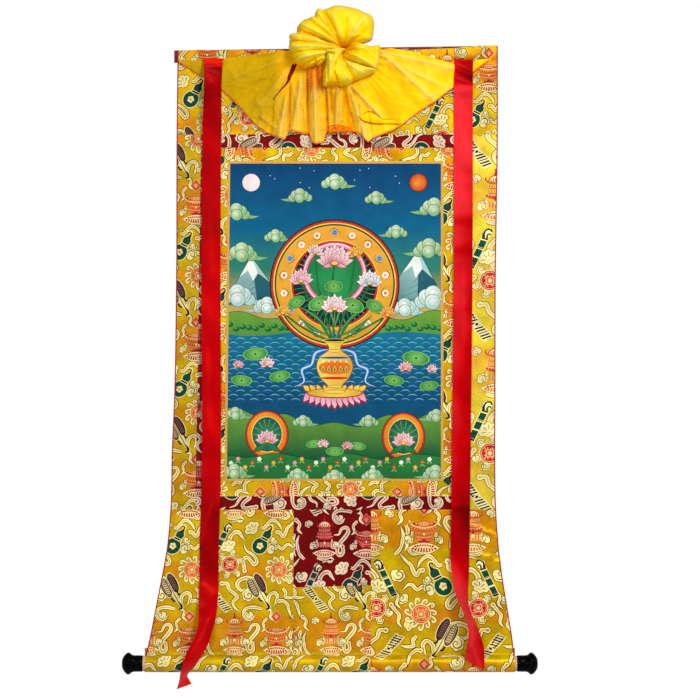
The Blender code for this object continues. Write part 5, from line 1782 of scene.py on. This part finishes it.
def veil_stand(x, z):
    """How far the veil stands off the mount, all in mm, and the relief of its folds."""
    below = rows_at(VEIL_TOPS, x) - z
    sewn = fade(12, 0, below) * fade(140, 200, np.abs(x))
    lift = 13 * np.exp(-(((x + 10) / 75) ** 2) - ((z + 60) / 70) ** 2)
    relief = creased(SKIRT_FOLDS, x, z)
    held = 1 - 0.85 * sewn
    away, turn = about_pinch(x, z)
    gathers = 1.3 * np.sin(turn * 46 + 2 * np.sin(turn * 7)) * fade(150, 60, away) * (z < 0)
    patches = crushed(x, z, 4.2) - 0.35
    small = 0.5 * np.sin(0.13 * x + 0.05 * z) + 0.35 * np.sin(0.31 * x - 0.11 * z) + VEIL_CRUSH * patches
    hem_wave = 0.8 * np.sin(0.5 * x) * fade(14, 0, z - rows_at(VEIL_HEMS, x))
    relief = (relief + 2.0 * VEIL_CRUSH * patches) * held
    stand = VEIL_STAND * (1 - sewn) + VEIL_SEWN_STAND * sewn + lift + relief
    return np.maximum(stand + (gathers + small + hem_wave) * held, VEIL_LEAST), relief


def veil_place(x, down):
    stand, _ = veil_stand(x / MM, down / MM)
    return x, CLOTH_FRONT - stand * MM, down


def veil_ground(spots):
    """Painted highlight, paler, on its ridges and painted shade, orange, in its valleys. Darker to the left,
    and olive at the lower left: partly the brocade showing through, partly painted shade.
    """
    x, z = spots[..., 0] / MM, spots[..., 1] / MM
    _, relief = veil_stand(x, z)
    tint = blended(SILK_PAINTED_SHADE, SILK, SILK_PAINTED_HIGHLIGHT, 0.5 + relief / 22)
    tint = tint * lerp(np.array(VEIL_RIGHT), np.array(VEIL_SKIRT), fade(60, 20, x)[..., None])
    left = fade(-92, -130, x) * fade(-175, -120, z)
    tint = tint + (np.array(SILK_OLIVE) - tint) * (0.8 * left)[..., None]
    gathered = fade(-92, -70, z) * fade(-70, -50, x) * fade(-8, -26, x) * fade(-30, -38, z)
    red = gathered * (0.35 + 0.65 * (np.sin(x * 0.55) < 0.1))
    return tint + (np.array(SILK_RED) - tint) * (0.8 * red)[..., None]


HEM_THREADS = dict(
    overlock=colour("D24A12"), run=colour("E88A10"), under=colour("E2700C"), pleat=colour("C8400C")
)


def make_veil_cloth():
    around = VEIL_HEMS + VEIL_TOPS[::-1]
    outline = []
    for a, b in zip(around, around[1:] + around[:1]):
        a, b = Vector(a), Vector(b)
        steps = max(1, round((b - a).length / 4))
        outline += [a.lerp(b, k / steps) * MM for k in range(steps)]
    chart = []
    foot = [(x, float(rows_at(VEIL_HEMS, x))) for x, _ in RAISED_HEM]
    for (ax, az), (bx, bz), c, d in zip(foot, foot[1:], RAISED_HEM[1:], RAISED_HEM):
        chart.append(("under", [(ax, az - 1), (bx, bz - 1), c, d]))
    for x, z, lean in ((-12, -156, 3), (-3, -154.5, -2), (9, -155, 3), (14, -156, -3), (18, -155.5, 2)):
        chart += stroke("pleat", [(x - lean, z - 4), (x, z), (x + lean, z + 3.6)], (1.6, 2.2, 1.2), 2)
    for line, thread, up, width in (
        (RAISED_HEM, "overlock", 0, 1.7), (RAISED_HEM, "run", -2.6, 0.8),
        (VEIL_HEMS, "overlock", 1.08, 1.9), (VEIL_HEMS, "run", 3.6, 0.9),
    ):
        chart += stroke(thread, [(x, z + up) for x, z in line], (width, width), 2)
    lay = dict(place=veil_place, pitch=0.0026, thick=SILK_THICK, rolled=-0.0003)
    return silken(sewn("veil_cloth", outline, placed(chart, size=MM), HEM_THREADS, veil_ground, **lay))


def silken(obj):
    return given(clad(obj, YELLOW_SILK), "veil")


# --- the rosette ---

CRUSH = 3.2  # height of the crushed patches, in mm


def make_lobe(name, outline, centre, base, bulge, behind, folds, tone, power=2.6, ruffle=0.8):
    """A puff of gathered silk, in mm: its outline and folds as seen from the front, with painted light and
    shade. tone lifts or lowers all of its painted light.
    """
    line = smooth([*outline, *outline[:3]], 8)[8 : 8 * (len(outline) + 1)]
    steps = np.linspace(0, 1, len(line), endpoint=False)
    ruffles = np.sin(steps * 2 * math.pi * 13) + 0.8 * np.sin(steps * 2 * math.pi * 29 + 1)
    wobble = 1 + 0.012 * ruffle * ruffles
    middle = np.array(centre)
    ring_line = middle + (line - middle) * wobble[:, None]
    fronts, backs = np.linspace(0.0, 1, 34) ** 0.75 + 0.0004, np.linspace(1, 0.0, 12)[1:] + 0.0004
    rows = []
    for t, is_back in [(t, False) for t in fronts] + [(t, True) for t in backs]:
        x, z = (middle + (ring_line - middle) * t).T
        dome = max(1 - t**power, 0) ** 0.5
        if is_back:
            y = base - (base - 1.6 + behind * fade(2, 24, z)) * min(1.0, dome * 1.4)
            y = y - (CRUSH * crushed(x, z, base + 1) * min(1.0, (1 - t) * 4)) * fade(8, 24, z)
        else:
            relief = (0.8 * creased(folds, x, z) + CRUSH * crushed(x, z, base)) * min(1.0, (1 - t) * 6 + 0.25)
            away, turn = about_pinch(x, z)
            fine = 0.35 * np.sin(turn * 38 + 3 * np.sin(turn * 5)) * fade(70, 20, away) * fade(2, 9, away)
            y = base + bulge * dome - 0.55 * bulge * np.exp(-((away / 15) ** 2)) + relief + fine
        rows.append((x, y, z))
    x, y, z = np.array(rows[::-1]).transpose(1, 0, 2)
    # Painted light and shade on the silk: paler on the ridges of its folds and crushed patches, darker near
    # the pinch where it is gathered, and darker at the rims below and left of the lobe's middle
    relief = creased(folds, x, z) + 1.2 * CRUSH * (crushed(x, z, base) - 0.3)
    away, _ = about_pinch(x, z)
    rim = np.concatenate([np.ones(len(backs)), fronts[::-1] ** 3])[:, None]
    to_x, to_z = x - middle[0], z - middle[1]
    lean = (-0.45 * to_x - 0.9 * to_z) / np.hypot(to_x, to_z)
    shade = 0.57 + tone + relief / 17 - 0.26 * np.exp(-((away / 18) ** 2)) - 0.36 * rim * fade(-0.1, 1, lean)
    tint = blended(SILK_PAINTED_SHADE, SILK, SILK_PAINTED_HIGHLIGHT, shade)
    around = np.concatenate([[0], np.cumsum(np.hypot(*np.diff(line, axis=0).T))]) * MM
    around = np.append(around, around[-1] + 0.003)
    flat = np.stack(np.broadcast_arrays(around, np.linspace(0.06, 0, len(rows))[:, None]), axis=-1)
    return silken(grid_sheet(name, off_mount(x, y, z), flat, tint, SILK_THICK, wrapped=True))


def make_rosette():
    upper = [
        (-29.5, 68.3), (-15.9, 74.6), (-1.4, 78.7), (16.6, 76.4), (34.7, 72.2), (51, 65.5), (63.7, 59.2),
        (68.2, 48.4), (67.6, 30.3), (64, 14), (55.5, 9), (42, 5), (28, 2), (14, -3), (4, -2), (-8, 6),
        (-20, 22), (-29, 40), (-32, 56),
    ]
    upper_folds = [
        (16, 4, 46, 47, 5, 7), (20, 4, 62, 34, 7, -5), (15, 0, 17, 50, 6, -3), (22, 4, 62, 14, 5, 5),
        (50, 62, 60, 30, 6, 3), (14, 0, -6, 50, 9, 2.5), (12, -2, -24, 62, 4, -4), (24, 14, 40, 20, 3, 4),
        (30, 6, 50, 12, 2.4, -3), (10, 8, 0, 22, 3, 3),
    ]
    crest = [
        (-45.8, 44), (-44.5, 55.6), (-41.2, 66.4), (-36.7, 72.2), (-29.5, 70.4), (-25, 64), (-18, 50),
        (-12, 34), (-24, 28), (-38, 34),
    ]
    pleated = [
        (-76.5, 35.7), (-73.8, 41.1), (-65.7, 49.3), (-55.7, 53.8), (-45.8, 56.5), (-34, 51.1), (-23.2, 44),
        (-12.3, 36), (-2, 20), (8, 2), (2, -6), (-20, 4), (-44, 12), (-62, 16), (-76, 24),
    ]
    pleated_folds = [
        (14, -4, -72, 42, 3.6, 5), (14, -4, -58, 52, 3.0, -5), (14, -4, -44, 56, 4.2, 5),
        (14, -4, -28, 46, 3.4, -5), (14, -4, -14, 38, 5, 7), (14, -4, -76, 30, 3, -4),
    ]
    fan_out = [
        (-89.2, 23), (-75.6, 26.3), (-61.1, 25.8), (-43, 20.3), (-25, 12.2), (-5, 3), (10, -3), (8, -9),
        (-6, -11), (-18, -14), (-21, -25.8), (-30.4, -34.8), (-36, -37), (-41.2, -35), (-50.3, -38.8),
        (-64.7, -42.4), (-73.8, -37.5), (-79.2, -30.3), (-85.5, -20.4), (-89.7, -11.3), (-91.5, -0.5),
        (-91, 12.2),
    ]
    fan_folds = [
        (14, -4, -88, 20, 3.4, 6), (14, -4, -90, 9, 3.0, -6), (14, -4, -92, -3, 4.0, 6),
        (10, -6, -88, -15, 3.0, -5), (6, -7, -80, -28, 4.2, 7), (0, -8, -68, -40, 3.2, -5),
        (-6, -10, -52, -38, 3.8, 6), (-12, -12, -42, -36, 2.4, -4), (-14, -12, -32, -36, 3.0, 4),
    ]
    right = [
        (20.3, 5), (34.7, 9), (52.8, 3), (63.7, 0.5), (80, 2), (80.4, -11.3), (79, -25.8), (76.3, -37.5),
        (70.9, -44.8), (54.6, -41), (34.7, -36), (16.6, -29), (5.8, -18.6), (9, -7.7),
    ]
    right_folds = [
        (16, -6, 64, 4, 4, 5), (16, -6, 76, -16, 6, -4), (14, -10, 72, -42, 5, 6), (40, 2, 78, -30, 4, 3),
        (18, -4, 44, 8, 3, -4), (76, 0, 74, -40, 2.2, 4),
    ]
    facet = [
        (5.8, -17), (12, -24), (34.7, -33), (54.6, -39.5), (72.7, -44.8), (61.9, -52), (45.6, -59.5),
        (32.9, -65.5), (20, -70), (8, -56), (4, -36),
    ]
    facet_folds = [(8, -20, 30, -64, 5, -6), (10, -24, 70, -46, 5, 6), (12, -30, 46, -54, 7, 5)]
    box = [
        (-27, -74), (-28, -52), (-22, -30), (-22, -13), (-12, -8), (5.8, -8.6), (10, -22), (12, -36),
        (18, -50), (28, -67), (20, -72.5), (5.8, -76), (-10.5, -74.5), (-19.5, -76),
    ]
    box_folds = [
        (-16, -10, -14, -60, 4, 5), (0, -10, -12, -44, 3, 6), (6, -18, -10, -46, 2.4, -5),
        (8, -28, 22, -66, 5, 6), (-8, -48, 2, -74, 4, -5), (-22, -40, -22, -74, 3, 4),
    ]
    strands = [
        (-22, -12), (-12, -7), (6, -4), (16, -6), (10, -12), (4, -22), (-4, -34), (-9, -28), (-10, -18)
    ]
    strand_folds = [(14, -6, -20, -12, 3, 5), (8, -10, -4, -30, 3, 4)]
    # The higher tones of the facet and the strand paint them lighter: painted highlight.
    return [
        make_lobe("rosette_upper_puff", upper, (22, 36), 3, 40, 15, upper_folds, 0.02, 3.0, 0.35),
        make_lobe("rosette_crest", crest, (-30, 50), 6, 24, 12, [(-16, 34, -40, 66, 4, 4)], -0.04),
        make_lobe("rosette_pleated_puff", pleated, (-36, 30), 8, 34, 10, pleated_folds, -0.04),
        make_lobe("rosette_fan", fan_out, (-48, -8), 12, 36, 0, fan_folds, 0.02),
        make_lobe("rosette_right_puff", right, (48, -17), 10, 34, 2, right_folds, -0.02),
        make_lobe("rosette_facet", facet, (32, -46), 16, 30, 0, facet_folds, 0.12),
        make_lobe("rosette_box_puff", box, (-3, -44), 14, 38, 0, box_folds, 0.02),
        make_lobe("rosette_strand", strands, (-2, -14), 30, 20, 0, strand_folds, 0.12, 2.2),
    ]


def make_veil_flap():
    """The hem of the right wing, turned over in front."""
    upper = smooth([
        (40, -131), (49, -125.5), (57.5, -121), (67, -123.5), (76, -129.5), (83.5, -136), (94, -136),
        (105, -137), (119, -143),
    ], 6)
    lower = smooth([
        (40.5, -133.5), (47, -139.5), (60, -143.5), (70, -145), (78, -145.5), (88, -145), (99, -144.5),
        (109, -144.6), (119.5, -145.6),
    ], 6)
    t = np.array((0, 0.07, 0.12, 0.25, 0.38, 0.5, 0.62, 0.75, 0.88, 0.93, 1))[:, None]
    x, z = (lower + (upper - lower) * t[..., None]).transpose(2, 0, 1)
    stand = veil_stand(x, z)[0] + 2.2 + 3.4 * np.sin(math.pi * t) + 0.6 * np.sin(x * 0.4)
    points = off_mount(x, stand, z)
    tint = one_colour(np.array(SILK) * VEIL_RIGHT)(points).copy()
    tint[[0, 1, -2, -1]] = colour("B4480A")
    return silken(grid_sheet("veil_turned_hem", points, points[..., ::2], tint, SILK_THICK))


TIE = [  # z, middle x, width, in mm
    (-32.2, -81.2, 8.5), (-44.0, -85.5, 8.2), (-56.0, -90.5, 6.6),
    (-64.0, -93.0, 4.5), (-82.0, -108.0, 2.4), (-99.0, -121.5, 1.6),
]


def make_tie():
    """The end of the red tie that gathers the veil, in the slit beside the skirt."""
    z = np.linspace(TIE[-1][0], TIE[0][0], 40)[:, None]
    u = np.linspace(-0.5, 0.5, 5)[None, :]
    x = curve_at(TIE, z, 1) + curve_at(TIE, z, 2) * u
    points = off_mount(x, veil_stand(x, z + 0 * u)[0] + 1.0 + 0.3 * np.cos(u * 6), z)
    tint = one_colour(colour("8A0810"))(points).copy()
    tint[:, [0, -1]] = colour("5E0408")
    obj = grid_sheet("veil_tie_tape", points, points[..., ::2], tint, TAPE_THICK)
    given(clad(obj, RED_SATIN), "veil_tie")


def make_veil():
    cloth = make_veil_cloth()
    pieces = [*make_rosette(), make_veil_flap()]
    make_tie()


# --- the ribbons ---

RIBBON_WIDTH, RIBBON_THICK, RIBBON_CLEAR = 0.036, 0.0006, 0.0014
RIBBON_CUT, RIBBON_SEWN = 0.03, 0.004  # how far up the slanting end and the sewn end reach
LEFT_RIBBON = [  # z, middle x, turn about the vertical in degrees
    (-0.0204, -0.2345, 10), (-0.0575, -0.2352, 26), (-0.1633, -0.2376, 8), (-0.4581, -0.2396, 4),
    (-0.7227, -0.2382, 8), (-0.8361, -0.2395, 0), (-0.9306, -0.2425, 0), (-1.042, -0.2444, 10),
    (-1.068, -0.2457, 24), (-1.0956, -0.2495, 37), (-1.123, -0.2587, 30), (-1.1403, -0.2676, 30),
    (-1.1574, -0.2759, 44), (-1.1712, -0.2827, 57), (-1.1815, -0.288, 70), (-1.187, -0.289, 70),
    (-1.194, -0.2883, 59), (-1.2026, -0.2878, 46),
]
RIGHT_RIBBON = [
    (-0.0215, 0.2382, -12), (-0.04, 0.2376, -20), (-0.071, 0.2371, -6), (-0.1633, 0.2372, 0),
    (-0.477, 0.2362, 4), (-0.7133, 0.2337, 4), (-0.8929, 0.2316, 6), (-0.9685, 0.2305, 12),
    (-0.999, 0.2319, 30), (-1.0338, 0.2345, 50), (-1.0613, 0.2419, 67), (-1.068, 0.2443, 68),
    (-1.0819, 0.2503, 63), (-1.1025, 0.2559, 54), (-1.123, 0.2582, 34), (-1.14, 0.2584, 12),
    (-1.164, 0.2586, 14),
]
# The ribbons' red, the red of their painted shade, and the reds of their painted highlights on the left
# ribbon and on the right one
RED, RED_PAINTED_SHADE, RED_PAINTED_HIGHLIGHT, PINK_PAINTED_HIGHLIGHT = colour("C40008"), colour("6E0004"), colour("F82008"), colour("F02C34")
LEFT_SHEEN_AND_SHADE = [  # z, the red painted with its sheen and shade: 0 painted shade, 0.5 red, 1 painted highlight
    (-0.02, 0.9), (-0.03, 0.9), (-0.04, 0.25), (-0.09, 0.15), (-0.11, 0.26), (-0.3, 0.36), (-0.55, 0.5),
    (-0.82, 0.42), (-0.9, 0.2), (-0.98, 0.22), (-1.015, 0.36), (-1.06, 0.4), (-1.12, 0.46), (-1.17, 0.6),
    (-1.185, 0.8), (-1.21, 0.8),
]
RIGHT_SHEEN_AND_SHADE = [
    (-0.02, 0.55), (-0.04, 0.42), (-0.068, 0.4), (-0.078, 0.95), (-0.215, 0.95), (-0.233, 0.76),
    (-0.25, 0.9), (-0.31, 0.84), (-0.328, 0.5), (-0.345, 0.74), (-0.365, 0.72), (-0.383, 0.36), (-0.4, 0.58),
    (-0.47, 0.66), (-0.495, 0.46), (-0.52, 0.58), (-0.7, 0.5), (-0.86, 0.34), (-0.87, 0.1), (-0.91, 0.22),
    (-0.97, 0.4), (-1.02, 0.75), (-1.08, 0.85), (-1.12, 0.6), (-1.164, 0.7),
]
LEFT_CRUMPLES = [  # from u mm, z mm, to u mm, z mm, half width, height
    (-16, -24, 14, -34, 3, 2.4), (-14, -34, 16, -30, 2.4, -1.6), (-16, -48, 10, -62, 3, 1.6),
    (-4, -60, 16, -84, 3, 1.2), (-14, -92, 8, -84, 4, 1.0), (-16, -1010, 10, -1030, 9, 3.0),
    (4, -860, -14, -930, 6, 1.4), (0, -300, 4, -420, 9, 1.0), (-6, -560, -2, -700, 8, 1.0),
    (10, -1060, -8, -1130, 5, 1.6),
]
RIGHT_CRUMPLES = [
    (-16, -30, 14, -46, 2.6, 2.6), (-14, -44, 16, -58, 2.6, -2.0), (-16, -56, 14, -70, 2.8, 2.6),
    (-17, -72, 17, -76, 2.0, 1.8), (-16, -862, 17, -866, 2.0, 1.6), (-12, -120, 12, -126, 7, 0.9),
    (-12, -200, 12, -192, 7, 0.9), (0, -420, 4, -560, 9, 1.0), (10, -1060, -8, -1120, 4, 1.8),
    (-10, -1120, 8, -1160, 4, 2.0),
]


def against(x, z):
    """The y of what the ribbons hang against: the mount, the veil's wings, then the roll."""
    cloth = hang(x, np.maximum(z, BEND_Z + 0.0005))[1] - CLOTH / 2
    at_x = x / MM
    over = fade(6, 1, z / MM - rows_at(VEIL_TOPS, at_x)) * fade(-20, -4, z / MM - rows_at(VEIL_HEMS, at_x))
    top = np.minimum(z / MM, rows_at(VEIL_TOPS, at_x))
    cloth = cloth - over * (veil_stand(at_x, top)[0] + 0.4) * MM
    return lerp(cloth, ROLL_FRONT, fade(-1.07, -1.135, z))


def make_ribbon(name, rows, slant, sheen_and_shade, crumples):
    top, foot = rows[0][0], rows[-1][0]
    z = [
        np.arange(top, -0.1, -0.0022), np.arange(-0.1, -0.98, -0.006), np.arange(-0.98, foot, -0.0024),
        [foot],
    ]
    z = np.concatenate(z)[::-1, None]
    u = np.linspace(-0.5, 0.5, 21)[None, :]
    middle, turn = curve_at(rows, z, 1), np.radians(curve_at(rows, z, 2))
    swing, spread = np.sin(turn) * RIBBON_WIDTH / 2, np.cos(turn) * RIBBON_WIDTH / 2
    touched = np.min([against(middle + k * np.abs(spread), z) for k in (-1, -0.5, 0, 0.5, 1)], axis=0)
    lifted = fade(top, top - RIBBON_SEWN, z)
    clear = lerp(SEAM_GAP, RIBBON_CLEAR, lifted) + RIBBON_THICK / 2
    side = u * RIBBON_WIDTH
    bulge = creased(crumples, side / MM, z / MM) * MM
    curl = 0.0011 * (np.abs(2 * u) ** 6) * np.sin(z * 42)
    x = middle + side * np.cos(turn) - bulge * np.sin(turn) * 0.5
    turned = np.abs(swing) - side * np.sin(turn)
    y = touched - clear - turned * lifted - np.abs(bulge) * lifted - curl * lifted * 0.5
    cut_z = slant * 2 * u * fade(foot + RIBBON_CUT, foot, z)
    points = np.stack(np.broadcast_arrays(x, y, z + cut_z), axis=-1)
    flat = np.stack(np.broadcast_arrays(side, z), axis=-1)
    # Painted sheen and shade: lighter on the crumples' bulges, in soft bands along the ribbon, and towards
    # the left side of the right ribbon
    how = np.broadcast_to(rows_at(sheen_and_shade, z), points.shape[:2]) + bulge / MM * 0.12
    how = how + 0.05 * np.sin(z * 60 + 3 * u) + 0.04 * np.sin(z * 23) - (0.3 * u if "right" in name else 0)
    tint = blended(RED_PAINTED_SHADE, RED, RED_PAINTED_HIGHLIGHT if "left" in name else PINK_PAINTED_HIGHLIGHT, how)
    inside_selvedge = (np.abs(u) > 0.46) & (np.abs(u) < 0.5)
    tint = np.where((inside_selvedge + 0 * z > 0)[..., None], tint * 0.72, tint)
    obj = grid_sheet(name, points, flat, tint, RIBBON_THICK)
    given(clad(obj, RED_SATIN), name.replace("_satin", ""))


# --- hard pieces ---


def wood_finish():
    f = Finish("pale wood")
    place = f.place()
    stretched = f.node("ShaderNodeVectorMath", {0: place, 1: (0.05, 1, 1)}, operation="MULTIPLY").outputs[0]
    grain = f.noise(stretched, 260, 4, 0.6)
    rings = f.wave(stretched, 60, "Z", 6)
    share = f.math("ADD", f.math("MULTIPLY", grain, 0.6), f.math("MULTIPLY", rings, 0.4))
    f.set(Base_Color=f.mixed(share, colour("D8B488"), colour("A8784A")), Roughness=0.62)
    f.bump(grain, 0.3, 0.0003)
    return f.material


def lacquer_finish():
    f = Finish("black lacquer")
    place = f.place()
    worn = f.noise(place, 90, 4)
    turned_lines = f.wave(place, 160, "X", 0.3)
    f.set(Base_Color=f.mixed(f.spread(worn, 0, 1, 0.55, 0.75), colour("020203"), colour("080709")))
    f.set(Roughness=f.spread(f.noise(place, 30, 3), 0.2, 0.36, 0.3, 0.7), Specular_IOR_Level=0.03)
    f.bump(turned_lines, 0.15, 0.00012)
    return f.material


WOOD = wood_finish()
LACQUER = lacquer_finish()
ROD_RADIUS, ROD_CHAMFER = 14.3, 0.7  # in mm
KNOB_PROFILE = [  # distance from the outer end, radius, in mm
    (0.6, 6.8), (1.6, 10.2), (3.0, 12.8), (4.8, 15.4), (6.8, 17.6), (8.6, 19.2), (10.2, 20.2), (11.4, 20.55),
    (12.8, 20.6), (14.2, 20.4), (15.4, 19.8), (16.6, 18.5), (18.2, 17.0), (20.5, 15.9), (23.0, 15.5),
    (24.0, 15.5), (25.0, 15.1), (26.0, 15.5), (32.0, 15.4), (38.0, 15.3), (39.5, 14.4),
]


def finish_piece(obj, name, material, node):
    obj.name = name
    bpy.ops.object.mode_set(mode="OBJECT")
    bpy.ops.object.transform_apply(location=True, rotation=True, scale=True)
    bpy.ops.object.shade_smooth_by_angle(angle=math.radians(35))
    given(clad(obj, material), node)


def turned_piece(name, start_x, outward, profile, material, node):
    """A turned piece, drawn out ring by ring from its outer end. profile is in mm."""
    bpy.ops.object.select_all(action="DESELECT")
    depth, radius = profile[0]
    start = (start_x - outward * depth * MM, ROLL_Y, ROLL_Z)
    bpy.ops.mesh.primitive_circle_add(
        vertices=72, radius=radius * MM, fill_type="TRIFAN", location=start,
        rotation=(0, outward * math.pi / 2, 0),
    )
    obj = bpy.context.object
    bpy.ops.object.mode_set(mode="EDIT")
    bpy.ops.mesh.select_all(action="SELECT")
    for (before, old), (after, new) in zip(profile, profile[1:]):
        step = (-outward * (after - before) * MM, 0, 0)
        bpy.ops.mesh.extrude_region_move(TRANSFORM_OT_translate=dict(value=step))
        centre = (start_x - outward * after * MM, ROLL_Y, ROLL_Z)
        bpy.ops.transform.resize(value=(1, new / old, new / old), center_override=centre)
    bpy.ops.mesh.select_all(action="SELECT")
    bpy.ops.mesh.normals_make_consistent(inside=False)
    finish_piece(obj, name, material, node)


def make_roller():
    left, right = ROD_ENDS
    length = (right - left) / MM
    end, full = ROD_RADIUS - ROD_CHAMFER, ROD_RADIUS
    profile = [
        (0, end), (ROD_CHAMFER, full), (length - ROD_CHAMFER, full), (length, end), (length + 0.01, 1.0)
    ]
    turned_piece("foot_rod_wood", right, 1, profile, WOOD, "foot_rod")
    for side, end, outward in (("left", left - SEAM_GAP, -1), ("right", right + SEAM_GAP, 1)):
        outer = end + outward * KNOB_LENGTH
        turned_piece(
            f"knob_{side}_turned", outer, outward, KNOB_PROFILE, LACQUER, f"knob_{side}"
        )


def make_slat():
    bpy.ops.object.select_all(action="DESELECT")
    size, at = (SLAT["length"], SLAT["thick"], SLAT["height"]), (HEADING_X, 0, HEADING_Z)
    bpy.ops.mesh.primitive_cube_add(size=1, scale=size, location=at, rotation=(0, -HEADING_TILT, 0))
    obj = bpy.context.object
    bpy.ops.object.transform_apply(location=False, rotation=False, scale=True)
    bpy.ops.object.mode_set(mode="EDIT")
    bpy.ops.mesh.select_all(action="SELECT")
    bpy.ops.mesh.bevel(offset=SLAT["edge"] * 0.8, segments=4, affect="EDGES")
    finish_piece(obj, "head_slat_wood", WOOD, "head_slat")


def make_sleeve():
    """The maroon sleeve sewn round the slat: brocade bent round a rounded bar."""
    round_edge = SLAT["edge"] + SEAM_GAP + SLEEVE_THICK
    half_y, half_z = SLEEVE_HALF_THICK - SLEEVE_THICK / 2, SLEEVE_HALF_HEIGHT - SLEEVE_THICK / 2
    bend = round_edge - SLEEVE_THICK / 2
    loop = []
    for side_y, side_z, start in ((1, 1, 0), (-1, 1, 90), (-1, -1, 180), (1, -1, 270)):
        middle = (side_y * (half_y - bend), side_z * (half_z - bend))
        loop += [spot(*middle, math.radians(a), bend) for a in np.linspace(start, start + 90, 7)]
    loop = np.array([*loop, loop[0]])
    run = np.concatenate([[0], np.cumsum(np.hypot(*np.diff(loop, axis=0).T))])
    girth = float(run[-1])
    tilt = math.tan(HEADING_TILT)

    def place(x, down):
        y, z = np.interp(down, run, loop[:, 0]), np.interp(down, run, loop[:, 1])
        return x, y + 0.00012 * np.sin(260 * x), HEADING_Z + z + (x - HEADING_X) * tilt

    left, right = HEADING_X - SLEEVE_LENGTH / 2, HEADING_X + SLEEVE_LENGTH / 2
    outline = strip_between([(left, 0.0), (right, 0.0), (right, girth), (left, girth)])
    chart = brocade_chart(outline, (-0.2, 0.05), within=(left + 0.014, right - 0.014))
    lay = dict(place=place, rows=list(run[1:-1]), thick=SLEEVE_THICK, rolled=0.0)
    ground = one_colour(colour("9A0A12", GLOSSY))
    obj = sewn("head_sleeve_cloth", outline, chart, MAROON_THREADS, ground, **lay)
    given(clad(obj, BROCADE, BROCADE_BACK), "head_sleeve")


make_head_panel()
make_side_panels()
make_foot_panels()
make_frames()
make_inner_borders()
make_picture(make_fillets())
make_slat()
make_sleeve()
make_roller()
make_veil()
make_ribbon("ribbon_left_satin", LEFT_RIBBON, 0.0028, LEFT_SHEEN_AND_SHADE, LEFT_CRUMPLES)
make_ribbon("ribbon_right_satin", RIGHT_RIBBON, -0.009, RIGHT_SHEEN_AND_SHADE, RIGHT_CRUMPLES)

# --- camera, light and floor ---

VIEW = dict(width=1.323, x=0.0232, z=-0.5715, distance=4.2)
SENSOR = 36
LIT_SPOT = (0, 0, -0.55)
ROOM_LIGHT, ROOM_SEEN = 0.4, 1.0  # brightness of the room as it lights the piece and as it is seen
FLOOR_SIZE, FLOOR_Z = 3.4, -1.62


def make_camera():
    data = bpy.data.cameras.new("camera")
    data.sensor_width = SENSOR
    data.lens = SENSOR * VIEW["distance"] / VIEW["width"]
    camera = bpy.data.objects.new("camera", data)
    bpy.context.scene.collection.objects.link(camera)
    camera.location = (VIEW["x"], CLOTH_FRONT - VIEW["distance"], VIEW["z"])
    camera.rotation_euler = (math.pi / 2, 0, 0)
    bpy.context.scene.camera = camera


def make_light(name, at, size, power):
    data = bpy.data.lights.new(name, "AREA")
    data.shape = "RECTANGLE"
    data.size, data.size_y = size
    data.energy = power
    light = bpy.data.objects.new(name, data)
    bpy.context.scene.collection.objects.link(light)
    light.location = at
    light.rotation_euler = (Vector(LIT_SPOT) - Vector(at)).to_track_quat("-Z", "Y").to_euler()


def make_room():
    world = bpy.data.worlds.new("room")
    bpy.context.scene.world = world
    world.use_nodes = True
    tree = world.node_tree
    sky = tree.nodes["Background"]
    sky.inputs["Color"].default_value = (1, 1, 1, 1)
    seen = tree.nodes.new("ShaderNodeLightPath").outputs["Is Camera Ray"]
    level = tree.nodes.new("ShaderNodeMapRange")
    level.inputs["To Min"].default_value = ROOM_LIGHT
    level.inputs["To Max"].default_value = ROOM_SEEN
    tree.links.new(seen, level.inputs["Value"])
    tree.links.new(level.outputs[0], sky.inputs["Strength"])
    bpy.ops.mesh.primitive_plane_add(size=FLOOR_SIZE, location=(0, 0, FLOOR_Z))
    floor = bpy.context.object
    floor.name = "floor"
    f = Finish("pale floor")
    f.set(Base_Color=(0.85, 0.85, 0.84, 1), Roughness=0.9)
    floor.data.materials.append(f.material)


make_camera()
make_light("key", (1.2, -2.3, 1.15), (0.9, 0.9), 80)
make_light("fill", (-1.3, -2.9, -0.2), (1.4, 1.4), 30)
make_room()
bpy.context.scene.view_settings.view_transform = "Standard"
